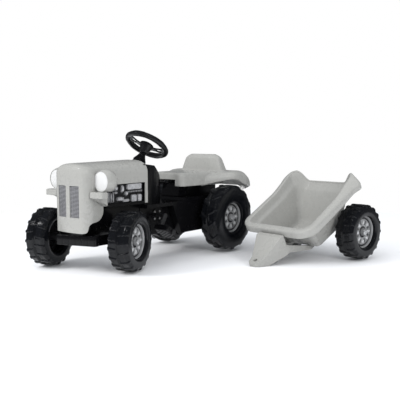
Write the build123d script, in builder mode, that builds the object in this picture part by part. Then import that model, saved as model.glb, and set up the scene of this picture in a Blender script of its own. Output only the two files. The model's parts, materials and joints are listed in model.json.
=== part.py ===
from build123d import *
import os
from math import cos, radians, sin

# Child's ride-on pedal tractor with a single-axle tipping trailer, parked beside it unhitched.
# Millimetres, +Z up. The tractor faces -Y and the driver's left is +X.
# The tractor is drawn with its rear axle over x = y = 0 and the floor at z = 0, the front axle
# about its own pivot and the trailer about its own axle. At the end the whole set is moved so
# that the origin is the middle of the floor area that it covers.

os.makedirs("parts", exist_ok=True)

# ---- driving sizes -------------------------------------------------------------------------
wheelbase = 620
wall = 3.5                     # moulded wall thickness
run_gap = 0.05                 # radial clearance of a shaft in its bush or hub
side_gap = 1.5                 # clearance between a wheel and what stands beside it

small_radius = 112             # front and trailer wheels
small_width = 86
big_radius = 144               # rear wheels
big_width = 90
rim_radius = 62.5
axle_radius = 6
hub_radius = 15
cap_radius = 13
cap_depth = 9

front_track = 420              # over the outer faces of the front tyres
rear_track = 430
trailer_track = 436

steer_turn = 18.4              # front axle as parked, degrees to the left
steer_ratio = 0.41             # front axle turn for each turn of the steering wheel
steer_lock = 22                # front axle, each way from straight ahead

bonnet_front = -wheelbase - 95
bonnet_back = -412
bonnet_half = 90
bonnet_top = 396
bonnet_corner = 30             # upright front corners
bonnet_shoulder = 40           # along the top
bonnet_low = 145

tunnel_half = 58               # chain tunnel between the pedals
chassis_half = 96              # seat pedestal
deck_top = 224
pedestal_front = -236
chassis_back = 78
chassis_low = 94
beam_low = 163                 # underside of the front beam, over the turning axle

crank_y = -320
crank_z = 175
crank_throw = 65
crank_angle = 32               # left pedal ahead of straight down, degrees
pedal_length = 80
pedal_width = 66
pedal_thick = 24
pedal_tilt = 34                # nose of each hanging pedal below level, degrees
chainring_radius = 40
sprocket_radius = 30

wheel_centre_y = -310          # steering wheel
wheel_centre_z = 452
wheel_rake = 34.7              # column lean from the vertical, degrees
wheel_radius = 92
wheel_grip = 11.5

seat_nose = -180
seat_low = 278
seat_top = 326
seat_half = 76
back_top = 413

lamp_radius = 42
lamp_x = 120
lamp_y = -wheelbase - 44
lamp_z = 328

trailer_x = 522.5              # trailer axle centre, from the tractor's rear axle
trailer_y = 193
trailer_yaw = -9.9             # degrees
trailer_pitch = 27             # nose down, drawbar on the floor, degrees
tub_floor = 135
tub_rim = 274
tub_front = -252
tub_back = 100
tub_half = 146
lip_out = 26                   # how far the rolled lip stands out round the tub
lip_drop = 30
sill_half = 90                 # rear sill between the raised corners
ear_top = 318
eye_v = -400                   # tow eye, ahead of the trailer's axle
eye_z = 207
pin_radius = 7                 # tow pin
pin_gap = 1.0                  # clearance of the trailer's eye on the tow pin

pieces = {}


def keep(piece, name, place=Location()):
    pieces[name] = piece.part.moved(place)


# ---- where things stand --------------------------------------------------------------------
front_axle_place = Location((0, -wheelbase, 0), (0, 0, steer_turn))
rake = radians(wheel_rake)
column_plane = Plane(
    origin=(0, wheel_centre_y, wheel_centre_z), x_dir=(1, 0, 0), z_dir=(0, sin(rake), cos(rake))
)
column_place = column_plane.location * Location((0, 0, 0), (0, 0, steer_turn / steer_ratio))
trailer_place = Location((trailer_x, trailer_y, 0), (0, 0, trailer_yaw))
tilt_place = trailer_place * Location((0, 0, small_radius), (trailer_pitch, 0, 0)) * Location(
    (0, 0, -small_radius)
)


# ---- wheels: blow-moulded tyre, moulded rim disc and hub, push-on cap ----------------------
def tyre(radius, width):
    shoulder = 12
    with BuildPart() as ring:
        with BuildSketch(Plane.XZ) as section:
            with BuildLine():
                Polyline(
                    (width / 2, rim_radius + 1),
                    (width / 2, radius - 2 * shoulder),
                    (width / 2 - 3, radius - shoulder),
                    (width / 2 - shoulder, radius),
                    (-width / 2 + shoulder, radius),
                    (-width / 2 + 3, radius - shoulder),
                    (-width / 2, radius - 2 * shoulder),
                    (-width / 2, rim_radius + 1),
                    close=True,
                )
            make_face()
            with Locations((0, (rim_radius + radius - shoulder) / 2)):
                Rectangle(
                    width - 2 * wall - 6, radius - rim_radius - 2.5 * shoulder, mode=Mode.SUBTRACT
                )
            with Locations((0, rim_radius + 5)):
                Rectangle(width - 2 * wall - 14, 14, mode=Mode.SUBTRACT)
        revolve(axis=Axis.X)
    return ring


def rim(width, side):
    # side is +1 where the outer face looks to +X
    with BuildPart() as disc:
        with BuildSketch(Plane.XZ):
            with BuildLine():
                Polyline(
                    (side * (width / 2 - 16), axle_radius + run_gap),
                    (side * (width / 2 - 5), axle_radius + run_gap),
                    (side * (width / 2 - 5), hub_radius + 6),
                    (side * (width / 2 - 12), hub_radius + 9),
                    (side * (width / 2 - 12), rim_radius - 9),
                    (side * (width / 2 - 3), rim_radius - 4),
                    (side * (width / 2 - 3), rim_radius),
                    (side * (width / 2 - 30), rim_radius),
                    (side * (width / 2 - 30), rim_radius - 3),
                    (side * (width / 2 - 16), rim_radius - 6),
                    (side * (width / 2 - 16), hub_radius),
                    (side * (-width / 2 + 2), hub_radius),
                    (side * (-width / 2 + 2), axle_radius + run_gap),
                    close=True,
                )
            make_face()
        revolve(axis=Axis.X)
    return disc


def hub_cap(face_x, side):
    # a push-on cap over the axle's end, standing just clear of the turning hub
    with BuildPart() as cap:
        with BuildSketch(Plane.XZ):
            with BuildLine():
                Polyline(
                    (side * (face_x + 0.6), axle_radius),
                    (side * (face_x + 0.6), cap_radius),
                    (side * (face_x + cap_depth - 3), cap_radius),
                    (side * (face_x + cap_depth), cap_radius - 4),
                    (side * (face_x + cap_depth), 0),
                    (side * (face_x + cap_depth - 3), 0),
                    (side * (face_x + cap_depth - 3), axle_radius),
                    close=True,
                )
            make_face()
        revolve(axis=Axis.X)
    return cap


def wheel(name, centre, radius, width, side, place):
    # centre is the distance from the vehicle's middle to the middle of the tyre
    hub_at = place * Location((side * centre, 0, radius))
    keep(tyre(radius, width), f"{name}_tyre", hub_at)
    keep(rim(width, side), f"{name}_rim", hub_at)
    keep(hub_cap(width / 2 - 5, side), f"{name}_cap", hub_at)


front_centre = (front_track - small_width) / 2
rear_centre = (rear_track - big_width) / 2
trailer_centre = (trailer_track - small_width) / 2
for side, word in ((1, "left"), (-1, "right")):
    wheel(f"front_{word}", front_centre, small_radius, small_width, side, front_axle_place)
    wheel(f"rear_{word}", rear_centre, big_radius, big_width, side, Location())
    wheel(f"trailer_{word}", trailer_centre, small_radius, small_width, side, trailer_place)


def axle_rod(track):
    # the ends stop inside the caps
    length = track - 2 * 5 + 2 * (cap_depth - 3)
    with BuildPart() as rod:
        Cylinder(axle_radius, length, rotation=(0, 90, 0))
    return rod


keep(axle_rod(front_track), "front_axle_rod", front_axle_place * Location((0, 0, small_radius)))
keep(axle_rod(rear_track), "rear_axle_rod", Location((0, 0, big_radius)))
keep(axle_rod(trailer_track), "trailer_axle_rod", trailer_place * Location((0, 0, small_radius)))

# ---- front axle: moulded yoke that swivels under the beam -----------------------------------
nose_half = 84
nose_front = -95
nose_depth = 32
nose_low = 100
nose_high = 137
wing_half = 98                 # where the yoke's sides meet the axle
boss_radius = 22
boss_top = beam_low - 3
kingpin_radius = 8
tube_radius = 13
tube_half = front_track / 2 - small_width - side_gap - 2
arm_half = 15
ball_circle_z = 170            # middle of the circle that the column's ball travels on
ball_slant = (wheel_centre_z - ball_circle_z) / cos(rake)
ball_circle_y = wheel_centre_y - ball_slant * sin(rake)
finger_throw = 0.66 * (ball_circle_y + wheelbase)
finger_drop = 26
ball_radius = 7
ball_gap = 3.4                 # each side of the ball in its fork
fork_low = 112
fork_top = 154

with BuildPart() as yoke:
    with BuildSketch(Plane.XY.offset(nose_low)):
        with Locations((0, nose_front + nose_depth / 2)):
            RectangleRounded(2 * nose_half, nose_depth, 14)
    extrude(amount=nose_high - nose_low)
    with BuildSketch(Plane.XY.offset(nose_low)):
        with Locations((0, (nose_front + nose_depth) / 2)):
            Rectangle(70, -nose_front - nose_depth + 30)
        Polygon(
            (-nose_half + 6, nose_front + nose_depth - 6), (nose_half - 6, nose_front + nose_depth - 6),
            (wing_half, -12), (wing_half, 10), (-wing_half, 10), (-wing_half, -12), align=None,
        )
    extrude(amount=nose_high - nose_low)
    with Locations((0, 0, small_radius)):
        Cylinder(tube_radius, 2 * tube_half, rotation=(0, 90, 0))
    with Locations((0, 0, small_radius - tube_radius)):
        Cylinder(
            boss_radius, boss_top - small_radius + tube_radius,
            align=(Align.CENTER, Align.CENTER, Align.MIN),
        )
    # rear arm, and the upright fork that the ball of the steering column works in
    fork_in = ball_circle_y + wheelbase + 5
    fork_out = ball_circle_y + wheelbase + finger_throw * cos(rake) + 12
    with BuildSketch(Plane.XY.offset(fork_low)):
        with Locations((0, fork_out / 2)):
            Rectangle(2 * arm_half, fork_out)
    extrude(amount=fork_top - fork_low)
    with BuildSketch(Plane.XY.offset(fork_low - 2)):
        with Locations((0, (fork_in + fork_out) / 2)):
            Rectangle(2 * (ball_radius + ball_gap), fork_out - fork_in)
    extrude(amount=fork_top - fork_low + 4, mode=Mode.SUBTRACT)
    with Locations((0, 0, small_radius)):
        Cylinder(axle_radius + run_gap, 400, rotation=(0, 90, 0), mode=Mode.SUBTRACT)
    with Locations((0, 0, small_radius + tube_radius)):
        Cylinder(
            kingpin_radius + run_gap, 80,
            align=(Align.CENTER, Align.CENTER, Align.MIN), mode=Mode.SUBTRACT,
        )
keep(yoke, "front_yoke", front_axle_place)

with BuildPart() as kingpin:
    with Locations((0, -wheelbase, small_radius + tube_radius + 2)):
        Cylinder(
            kingpin_radius, deck_top - wall - small_radius - tube_radius - 4,
            align=(Align.CENTER, Align.CENTER, Align.MIN),
        )
keep(kingpin, "kingpin")

with BuildPart() as thrust_washer:
    with Locations((0, -wheelbase, boss_top + 0.4)):
        Cylinder(boss_radius, 2, align=(Align.CENTER, Align.CENTER, Align.MIN))
        Cylinder(
            kingpin_radius + 0.3, 2,
            align=(Align.CENTER, Align.CENTER, Align.MIN), mode=Mode.SUBTRACT,
        )
keep(thrust_washer, "thrust_washer")

# ---- steering: wheel, hub cap, bent column with its finger ----------------------------------
with BuildPart() as steering_wheel:
    Torus(wheel_radius - wheel_grip, wheel_grip)
    with BuildSketch(Plane.XY.offset(-16)):
        Circle(21)
    extrude(amount=18)
    for clock in (0, 90, 180):
        with Locations(Location((0, 0, -4), (0, 0, clock))):
            Box(wheel_radius - wheel_grip, 24, 7, align=(Align.MIN, Align.CENTER, Align.CENTER))
    with Locations((0, 0, -20)):
        Cylinder(axle_radius + 2 + run_gap, 17, align=(Align.CENTER, Align.CENTER, Align.MIN),
                 mode=Mode.SUBTRACT)
keep(steering_wheel, "steering_wheel", column_place)

with BuildPart() as hub_button:
    with BuildSketch(Plane.XY.offset(2)):
        Circle(19)
    extrude(amount=5, taper=25)
keep(hub_button, "steering_hub_cap", column_place)

column_radius = axle_radius + 2
arm_slant = ball_slant - finger_drop
with BuildPart() as column:
    with Locations((0, 0, -arm_slant - 5)):
        Cylinder(column_radius, arm_slant, align=(Align.CENTER, Align.CENTER, Align.MIN))
    with Locations((0, finger_throw / 2, -arm_slant)):
        Box(10, finger_throw + 10, 10)
    with Locations((0, finger_throw, -ball_slant)):
        Cylinder(5, finger_drop, align=(Align.CENTER, Align.CENTER, Align.MIN))
        Sphere(ball_radius)
keep(column, "steering_column", column_place)

# ---- chassis: front beam, footwell deck, chain tunnel and seat pedestal in one moulding --------
beam_half = 55
beam_front = -wheelbase - 80
deck_front = bonnet_back
deck_skirt = 14
tunnel_low = 100
hump_half = 60                 # carries the back of the seat
hump_front = -42
hump_back = 66
hump_top = seat_top - wall - 0.5
plate_top = deck_top + 12      # top of the pedestal
pivot_back = -wheelbase + 55              # the beam is closed below round the pivot, as far as here
bush_wall = 5
crank_radius = 7
flange_radius = 27
bolt_circle = 20
bolt_radius = 2.5
bolt_gap = 0.1
pedestal_side = [
    (pedestal_front - 32, deck_top),
    (pedestal_front + 24, chassis_low),
    (chassis_back, chassis_low),
    (chassis_back, plate_top),
    (-186, plate_top),
    (-196, deck_top),
]


def column_at(depth):
    # a place on the steering column, so far below the steering wheel
    return column_plane.location * Location((0, 0, -depth))


lower_bush = (wheel_centre_z - deck_top) / cos(rake) - 4
upper_bush = 88

with BuildPart() as chassis:
    with BuildSketch(Plane.YZ):
        Polygon(*pedestal_side, align=None)
    extrude(amount=chassis_half, both=True)
    with BuildSketch(Plane.XY.offset(deck_top)):
        with Locations((0, (hump_front + hump_back) / 2)):
            Rectangle(2 * hump_half, hump_back - hump_front)
    extrude(amount=hump_top - deck_top)
    with BuildSketch(Plane.XY.offset(beam_low)):
        with Locations((0, (beam_front + pedestal_front) / 2)):
            Rectangle(2 * beam_half, pedestal_front - beam_front)
    extrude(amount=deck_top - beam_low)
    with BuildSketch(Plane.XY.offset(tunnel_low)):
        with Locations((0, (deck_front + pedestal_front) / 2 + 20)):
            Rectangle(2 * tunnel_half, pedestal_front - deck_front + 40)
    extrude(amount=deck_top - tunnel_low)
    with BuildSketch(Plane.XY.offset(deck_top - deck_skirt)):
        with Locations((0, (deck_front + pedestal_front) / 2)):
            Rectangle(2 * chassis_half, pedestal_front - deck_front)
    extrude(amount=deck_skirt)
    # hollow from below
    with BuildSketch(Plane.YZ):
        Polygon(*pedestal_side, align=None)
        offset(amount=-wall, mode=Mode.REPLACE)
        with Locations(((pedestal_front + chassis_back) / 2 + 14, chassis_low)):
            Rectangle(chassis_back - pedestal_front - 34, 16)
    extrude(amount=chassis_half - wall, both=True, mode=Mode.SUBTRACT)
    with BuildSketch(Plane.XY.offset(deck_top - 20)):
        with Locations((0, (hump_front + hump_back) / 2)):
            Rectangle(2 * (hump_half - wall), hump_back - hump_front - 2 * wall)
    extrude(amount=hump_top - wall - deck_top + 20, mode=Mode.SUBTRACT)
    with BuildSketch(Plane.XY.offset(tunnel_low - 20)):
        with Locations((0, (deck_front + wall - 150) / 2)):
            Rectangle(2 * (tunnel_half - wall), -150 - deck_front - wall)
    extrude(amount=deck_top - wall - tunnel_low + 20, mode=Mode.SUBTRACT)
    with BuildSketch(Plane.XY.offset(beam_low - 20)):
        with Locations((0, (pivot_back + deck_front - wall) / 2)):
            Rectangle(2 * (beam_half - wall), deck_front - wall - pivot_back)
    extrude(amount=deck_top - wall - beam_low + 20, mode=Mode.SUBTRACT)
    with BuildSketch(Plane.XY.offset(beam_low + 8)):
        with Locations((0, (beam_front + wall + pivot_back) / 2)):
            Rectangle(2 * (beam_half - wall), pivot_back - beam_front - wall)
    extrude(amount=80, mode=Mode.SUBTRACT)
    with BuildSketch(Plane.XY.offset(beam_low + 8)):
        with Locations((0, -wheelbase)):
            Circle(kingpin_radius + 10)
    extrude(amount=deck_top - wall - 2 - beam_low - 8)
    with Locations((0, -wheelbase, beam_low)):
        Cylinder(kingpin_radius, 200, mode=Mode.SUBTRACT)
    # side windows that the column's finger swings out through
    with Locations((0, ball_circle_y + 26, beam_low)):
        Box(300, 84, 46, mode=Mode.SUBTRACT)
    # bosses and bores for the column, the crank and the rear axle
    with Locations(column_at(lower_bush)):
        Cylinder(column_radius + bush_wall + 4, 24)
        Cylinder(column_radius + bush_wall, 80, mode=Mode.SUBTRACT)
    with Locations((0, crank_y, crank_z)):
        Cylinder(crank_radius + bush_wall, 2 * tunnel_half + 2, rotation=(0, 90, 0),
                 mode=Mode.SUBTRACT)
    with Locations(Location((0, crank_y, crank_z), (0, 90, 0))):
        with PolarLocations(bolt_circle, 4, 45):
            Cylinder(bolt_radius + bolt_gap, 2 * tunnel_half + 2, mode=Mode.SUBTRACT)
    with Locations((0, 0, big_radius)):
        Cylinder(axle_radius + bush_wall, 2 * chassis_half + 2, rotation=(0, 90, 0),
                 mode=Mode.SUBTRACT)
keep(chassis, "chassis")


def bush(inner, length, flange):
    # a plain bush, its flange above
    with BuildPart() as ring:
        Cylinder(inner + bush_wall, length, align=(Align.CENTER, Align.CENTER, Align.MAX))
        Cylinder(flange, 2.5, align=(Align.CENTER, Align.CENTER, Align.MIN))
        Cylinder(inner + run_gap, 3 * length, mode=Mode.SUBTRACT)
    return ring.part


with BuildPart() as crank_bushes:
    for side in (1, -1):
        with Locations(Location((side * tunnel_half, crank_y, crank_z), (0, side * 90, 0))):
            add(bush(crank_radius, wall, flange_radius))
    with Locations(Location((0, crank_y, crank_z), (0, 90, 0))):
        with PolarLocations(bolt_circle, 4, 45):
            Cylinder(bolt_radius + bolt_gap, 200, mode=Mode.SUBTRACT)
keep(crank_bushes, "crank_bushes")

with BuildPart() as bearing_bolts:
    for side in (1, -1):
        with Locations(Location((side * (tunnel_half + 2.5), crank_y, crank_z), (0, side * 90, 0))):
            with PolarLocations(bolt_circle, 4, 45):
                Cylinder(4.5, 3, align=(Align.CENTER, Align.CENTER, Align.MIN))
                Cylinder(bolt_radius, 10, align=(Align.CENTER, Align.CENTER, Align.MAX))
keep(bearing_bolts, "bearing_bolts")

with BuildPart() as rear_bushes:
    for side in (1, -1):
        with Locations(Location((side * chassis_half, 0, big_radius), (0, side * 90, 0))):
            add(bush(axle_radius, wall, 20))
keep(rear_bushes, "rear_axle_bushes")

with BuildPart() as column_bushes:
    for depth in (lower_bush - 12, upper_bush - 12):
        with Locations(column_at(depth)):
            add(bush(column_radius, 20, column_radius + bush_wall + 3))
keep(column_bushes, "column_bushes")

# ---- drive: crank, chainring, chain, sprocket and the two pedals -------------------------------
chain_x = 30
crank_arm_x = chassis_half + 4
arm_thick = 8
pin_out = crank_arm_x + arm_thick + 3 + pedal_width
with BuildPart() as crank:
    Cylinder(crank_radius, 2 * crank_arm_x + arm_thick, rotation=(0, 90, 0))
    for side in (1, -1):
        pin_y = -side * crank_throw * sin(radians(crank_angle))
        pin_z = -side * crank_throw * cos(radians(crank_angle))
        with BuildSketch(Plane.YZ.offset(side * crank_arm_x)):
            with Locations((pin_y / 2, pin_z / 2)):
                SlotCenterToCenter(crank_throw, 20, rotation=90 - crank_angle)
        extrude(amount=side * arm_thick)
        with Locations((side * (crank_arm_x + pin_out) / 2, pin_y, pin_z)):
            Cylinder(axle_radius, pin_out - crank_arm_x, rotation=(0, 90, 0))
crank_place = Location((0, crank_y, crank_z))
keep(crank, "crank", crank_place)


def toothed_disc(pitch_radius, bore):
    with BuildPart() as disc:
        with BuildSketch(Plane.YZ.offset(chain_x - 2)):
            Circle(pitch_radius - 3.6)
            with PolarLocations(pitch_radius * 0.45, 5):
                Circle(pitch_radius * 0.16, mode=Mode.SUBTRACT)
            Circle(bore, mode=Mode.SUBTRACT)
        extrude(amount=4)
    return disc


chainring = toothed_disc(chainring_radius, crank_radius)
sprocket = toothed_disc(sprocket_radius, axle_radius)
keep(chainring, "chainring", crank_place)
keep(sprocket, "rear_sprocket", Location((0, 0, big_radius)))

chain_half = 3.2
with BuildPart() as chain:
    with BuildSketch(Plane.YZ.offset(chain_x - 3.5)):
        with BuildSketch(mode=Mode.PRIVATE) as inner:
            with Locations((crank_y, crank_z)):
                Circle(chainring_radius - chain_half)
            with Locations((0, big_radius)):
                Circle(sprocket_radius - chain_half)
            make_hull()
        with Locations((crank_y, crank_z)):
            Circle(chainring_radius + chain_half)
        with Locations((0, big_radius)):
            Circle(sprocket_radius + chain_half)
        make_hull()
        add(inner.sketch, mode=Mode.SUBTRACT)
    extrude(amount=7)
keep(chain, "drive_chain")

for side, word in ((1, "left"), (-1, "right")):
    with BuildPart() as pedal:
        with BuildSketch(Plane.YZ.offset(side * (crank_arm_x + arm_thick + 2))):
            RectangleRounded(pedal_length, pedal_thick, 7)
        extrude(amount=side * pedal_width)
        with Locations((side * crank_arm_x, 0, 0)):
            Cylinder(axle_radius + run_gap, 400, rotation=(0, 90, 0), mode=Mode.SUBTRACT)
    pin_y = -side * crank_throw * sin(radians(crank_angle))
    pin_z = -side * crank_throw * cos(radians(crank_angle))
    hang = Location((0, pin_y, pin_z), (-pedal_tilt, 0, 0))
    keep(pedal, f"pedal_{word}", crank_place * hang)

with BuildPart() as pedal_caps:
    for side in (1, -1):
        pin_y = -side * crank_throw * sin(radians(crank_angle))
        pin_z = -side * crank_throw * cos(radians(crank_angle))
        with Locations((side * (pin_out + 1.5), pin_y, pin_z)):
            Cylinder(11, 4, rotation=(0, 90, 0))
        with Locations((side * (pin_out - 2), pin_y, pin_z)):
            Cylinder(axle_radius, 4, rotation=(0, 90, 0), mode=Mode.SUBTRACT)
keep(pedal_caps, "pedal_caps", crank_place)

# ---- bonnet: one shell, rounded front corners, cut away below and open to the engine ----------
side_low = 231                 # lower edge of the bonnet's side behind the front corner
bonnet_side = [
    (bonnet_front - 20, bonnet_low),
    (bonnet_front + 17, bonnet_low + 13),
    (bonnet_front + 31, bonnet_low + 40),
    (bonnet_front + 56, bonnet_low + 47),
    (bonnet_front + 79, bonnet_low + 59),
    (bonnet_front + 85, side_low),
    (bonnet_back + 30, side_low),
    (bonnet_back + 30, bonnet_top + 40),
    (bonnet_front - 20, bonnet_top + 40),
]
engine_front = bonnet_front + 102
engine_back = -430
engine_low = 240
engine_high = 312
grille_half = 23
grille_x = 32
grille_low = 199
grille_high = 311
with BuildPart() as bonnet:
    with BuildSketch(Plane.XZ.offset(-bonnet_back)):
        with Locations((0, (bonnet_low + bonnet_top) / 2)):
            Rectangle(2 * bonnet_half, bonnet_top - bonnet_low)
    extrude(amount=bonnet_back - bonnet_front)
    fillet(bonnet.edges().filter_by(Axis.Y).group_by(Axis.Z)[-1], bonnet_shoulder)
    fillet(bonnet.edges().filter_by(Axis.Z).group_by(Axis.Y)[0], bonnet_corner)
    open_sides = bonnet.faces().sort_by(Axis.Y)[-1:] + bonnet.faces().sort_by(Axis.Z)[:1]
    offset(amount=-wall, openings=open_sides)
    with BuildSketch(Plane.YZ):
        Polygon(*bonnet_side, align=None)
    extrude(amount=200, both=True, mode=Mode.INTERSECT)
    with BuildSketch(Plane.YZ):
        with Locations(((engine_front + engine_back) / 2, (engine_low + engine_high) / 2)):
            Rectangle(engine_back - engine_front, engine_high - engine_low)
    extrude(amount=200, both=True, mode=Mode.SUBTRACT)
    with BuildSketch(Plane.XZ.offset(-bonnet_front - 20)):
        with Locations((grille_x, (grille_low + grille_high) / 2),
                       (-grille_x, (grille_low + grille_high) / 2)):
            Rectangle(2 * grille_half, grille_high - grille_low)
    extrude(amount=40, mode=Mode.SUBTRACT)
keep(bonnet, "bonnet")

with BuildPart() as grille:
    for side in (1, -1):
        with BuildSketch(Plane.XZ.offset(-bonnet_front - 6)):
            with Locations((side * grille_x, (grille_low + grille_high) / 2)):
                Rectangle(2 * grille_half - 0.6, grille_high - grille_low - 0.6)
        extrude(amount=4)
keep(grille, "grille")

for side, word in ((1, "left"), (-1, "right")):
    with BuildPart() as engine:
        with BuildSketch(Plane.YZ.offset(side * (bonnet_half - wall - 12))):
            with Locations(((engine_front + engine_back) / 2, (engine_low + engine_high) / 2)):
                Rectangle(engine_back - engine_front + 10, engine_high - engine_low + 6)
        extrude(amount=side * 4)
        with BuildSketch(Plane.YZ.offset(side * (bonnet_half - wall - 8))):
            with Locations(((engine_front + engine_back) / 2, (engine_low + engine_high) / 2)):
                Rectangle(engine_back - engine_front - 12, engine_high - engine_low - 16)
        extrude(amount=side * 6)
    keep(engine, f"engine_{word}")

# ---- headlamps: bracket, round housing and lens on each side -------------------------------------
lens_radius = 38
shelf_reach = 62
shelf_deep = 36
for side, word in ((1, "left"), (-1, "right")):
    with BuildPart() as bracket:
        with BuildSketch(Plane.XY.offset(lamp_z - 58)):
            with Locations((side * (bonnet_half + shelf_reach / 2), lamp_y - 10)):
                Rectangle(shelf_reach, shelf_deep)
        extrude(amount=22)
    keep(bracket, f"lamp_bracket_{word}")
    with BuildPart() as housing:
        with Locations((side * lamp_x, lamp_y + 18, lamp_z)):
            Sphere(lamp_radius)
        with Locations((side * lamp_x, lamp_y - 50, lamp_z)):
            Box(120, 100, 120, mode=Mode.SUBTRACT)
        with Locations((0, 0, lamp_z - 36 - 50)):
            Box(800, 2000, 100, mode=Mode.SUBTRACT)
        with Locations((side * (bonnet_half - 50), 0, lamp_z)):
            Box(100, 2000, 200, mode=Mode.SUBTRACT)
    keep(housing, f"lamp_housing_{word}")
    with BuildPart() as lens:
        with BuildSketch(Plane.XZ.offset(-lamp_y)):
            with Locations((side * lamp_x, lamp_z)):
                Circle(lens_radius * 0.9)
        extrude(amount=5, taper=25)
        with Locations((side * (bonnet_half - 50), 0, lamp_z)):
            Box(100.6, 2000, 200, mode=Mode.SUBTRACT)
    keep(lens, f"lamp_lens_{word}")

# ---- dashboard behind the bonnet, boot round the column, hand lever -------------------------------
dash_back = -256
lever_x = 26
lever_z = 300
lever_radius = 4
dash_side = [
    (bonnet_back, deck_top),
    (bonnet_back, 380),
    (-345, 372),
    (-298, 335),
    (-268, 300),
    (dash_back, 270),
    (dash_back, deck_top),
]
dash_half = 80                 # where it meets the bonnet; from above it narrows in a half oval
dash_long = 156
with BuildPart() as dash_inside:
    with BuildSketch(Plane.YZ):
        Polygon(*dash_side, align=None)
        offset(amount=-wall, mode=Mode.REPLACE)
        with Locations(((bonnet_back + dash_back) / 2, deck_top)):
            Rectangle(dash_back - bonnet_back - 30, 20)
    extrude(amount=dash_half, both=True)
    with BuildSketch(Plane.XY.offset(deck_top - 40)):
        with Locations((0, bonnet_back)):
            Ellipse(dash_half - wall, dash_long - wall)
    extrude(amount=240, mode=Mode.INTERSECT)

with BuildPart() as dash:
    with BuildSketch(Plane.YZ):
        Polygon(*dash_side, align=None)
    extrude(amount=dash_half, both=True)
    with BuildSketch(Plane.XY.offset(deck_top)):
        with Locations((0, bonnet_back)):
            Ellipse(dash_half, dash_long)
    extrude(amount=200, mode=Mode.INTERSECT)
    add(dash_inside.part, mode=Mode.SUBTRACT)
    with Locations(column_at(upper_bush)):
        Cylinder(26, 24)
        Cylinder(column_radius + bush_wall, 400, mode=Mode.SUBTRACT)
    with Locations((lever_x, dash_back, lever_z)):
        Cylinder(lever_radius, 60, rotation=(90, 0, 0), mode=Mode.SUBTRACT)
keep(dash, "dashboard")

boot_top = -44
boot_low = 12 - upper_bush + 0.3
with BuildPart() as boot:
    with BuildSketch(Plane.XZ):
        with BuildLine():
            Polyline(
                (column_radius + 0.4, boot_top),
                (column_radius + 5, boot_top),
                (26, boot_low + 8),
                (26, boot_low),
                (22, boot_low),
                (22, boot_low + 7),
                (column_radius + 0.4, boot_low + 20),
                close=True,
            )
        make_face()
    revolve(axis=Axis.Z)
keep(boot, "column_boot", column_plane.location)

with BuildPart() as lever:
    with Locations((lever_x, dash_back + 6, lever_z)):
        Cylinder(lever_radius, 48, rotation=(90, 0, 0))
    with Locations((lever_x, dash_back + 32, lever_z)):
        Sphere(9)
keep(lever, "hand_lever")

# ---- seat with its fenders, the pillar in front of it and its latch -------------------------------
back_y = 60
fender_half = 200
pillar_half = 48
pillar_front = -180
pillar_top = seat_top - wall - 0.5
with BuildPart() as seat:
    with BuildSketch(Plane.XY.offset(seat_low)):
        with BuildLine():
            Polyline(
                (-seat_half, seat_nose + 30),
                (-seat_half + 20, seat_nose),
                (seat_half - 20, seat_nose),
                (seat_half, seat_nose + 30),
                (seat_half + 14, 92),
                (-seat_half - 14, 92),
                close=True,
            )
        make_face()
    extrude(amount=seat_top - seat_low)
    with BuildSketch(Plane.XZ.offset(-back_y + 18)):
        with BuildLine():
            Polyline(
                (-112, seat_low + 60),
                (-96, seat_top + 20),
                (-74, back_top - 8),
                (-64, back_top),
                (64, back_top),
                (74, back_top - 8),
                (96, seat_top + 20),
                (112, seat_low + 60),
                close=True,
            )
        make_face()
    extrude(amount=-36)
    with BuildSketch(Plane.YZ):
        with BuildLine():
            Spline((-70, 298), (0, 325), (80, 341), (150, 318), (200, 266))
            Polyline((200, 266), (193, 262), (150, 262), (75, 288), (40, 296), (-55, 296), (-70, 298))
        make_face()
    extrude(amount=fender_half, both=True)
    # hollow from below
    with BuildSketch(Plane.YZ):
        with BuildLine():
            Spline((-76, 290), (0, 320), (80, 336), (147, 314), (197, 258))
            Polyline((197, 258), (190, 250), (-76, 250), (-76, 290))
        make_face()
    extrude(amount=fender_half - 3, both=True, mode=Mode.SUBTRACT)
    with BuildSketch(Plane.XY.offset(seat_low - 20)):
        with Locations((0, (seat_nose + 92) / 2)):
            Rectangle(2 * (seat_half - wall) - 8, 92 - seat_nose - 2 * wall)
    extrude(amount=seat_top - wall - seat_low + 20, mode=Mode.SUBTRACT)
    # notch in the nose for the pillar
    with Locations((0, seat_nose, pillar_top - 50)):
        Box(2 * pillar_half + 3, 60, 100, mode=Mode.SUBTRACT)
keep(seat, "seat")

with BuildPart() as pillar:
    with BuildSketch(Plane.YZ):
        Polygon(
            (pillar_front, plate_top),
            (pillar_front + 28, pillar_top),
            (-100, pillar_top),
            (-100, plate_top + 48),
            (-130, plate_top),
            align=None,
        )
    extrude(amount=pillar_half, both=True)
keep(pillar, "seat_pillar")

with BuildPart() as latch:
    with BuildSketch(Plane.XY.offset(pillar_top - 26)):
        with Locations((0, pillar_front + 17)):
            RectangleRounded(16, 16, 3)
    extrude(amount=25.5)
    add(pillar.part, mode=Mode.SUBTRACT)
keep(latch, "seat_latch")

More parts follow.
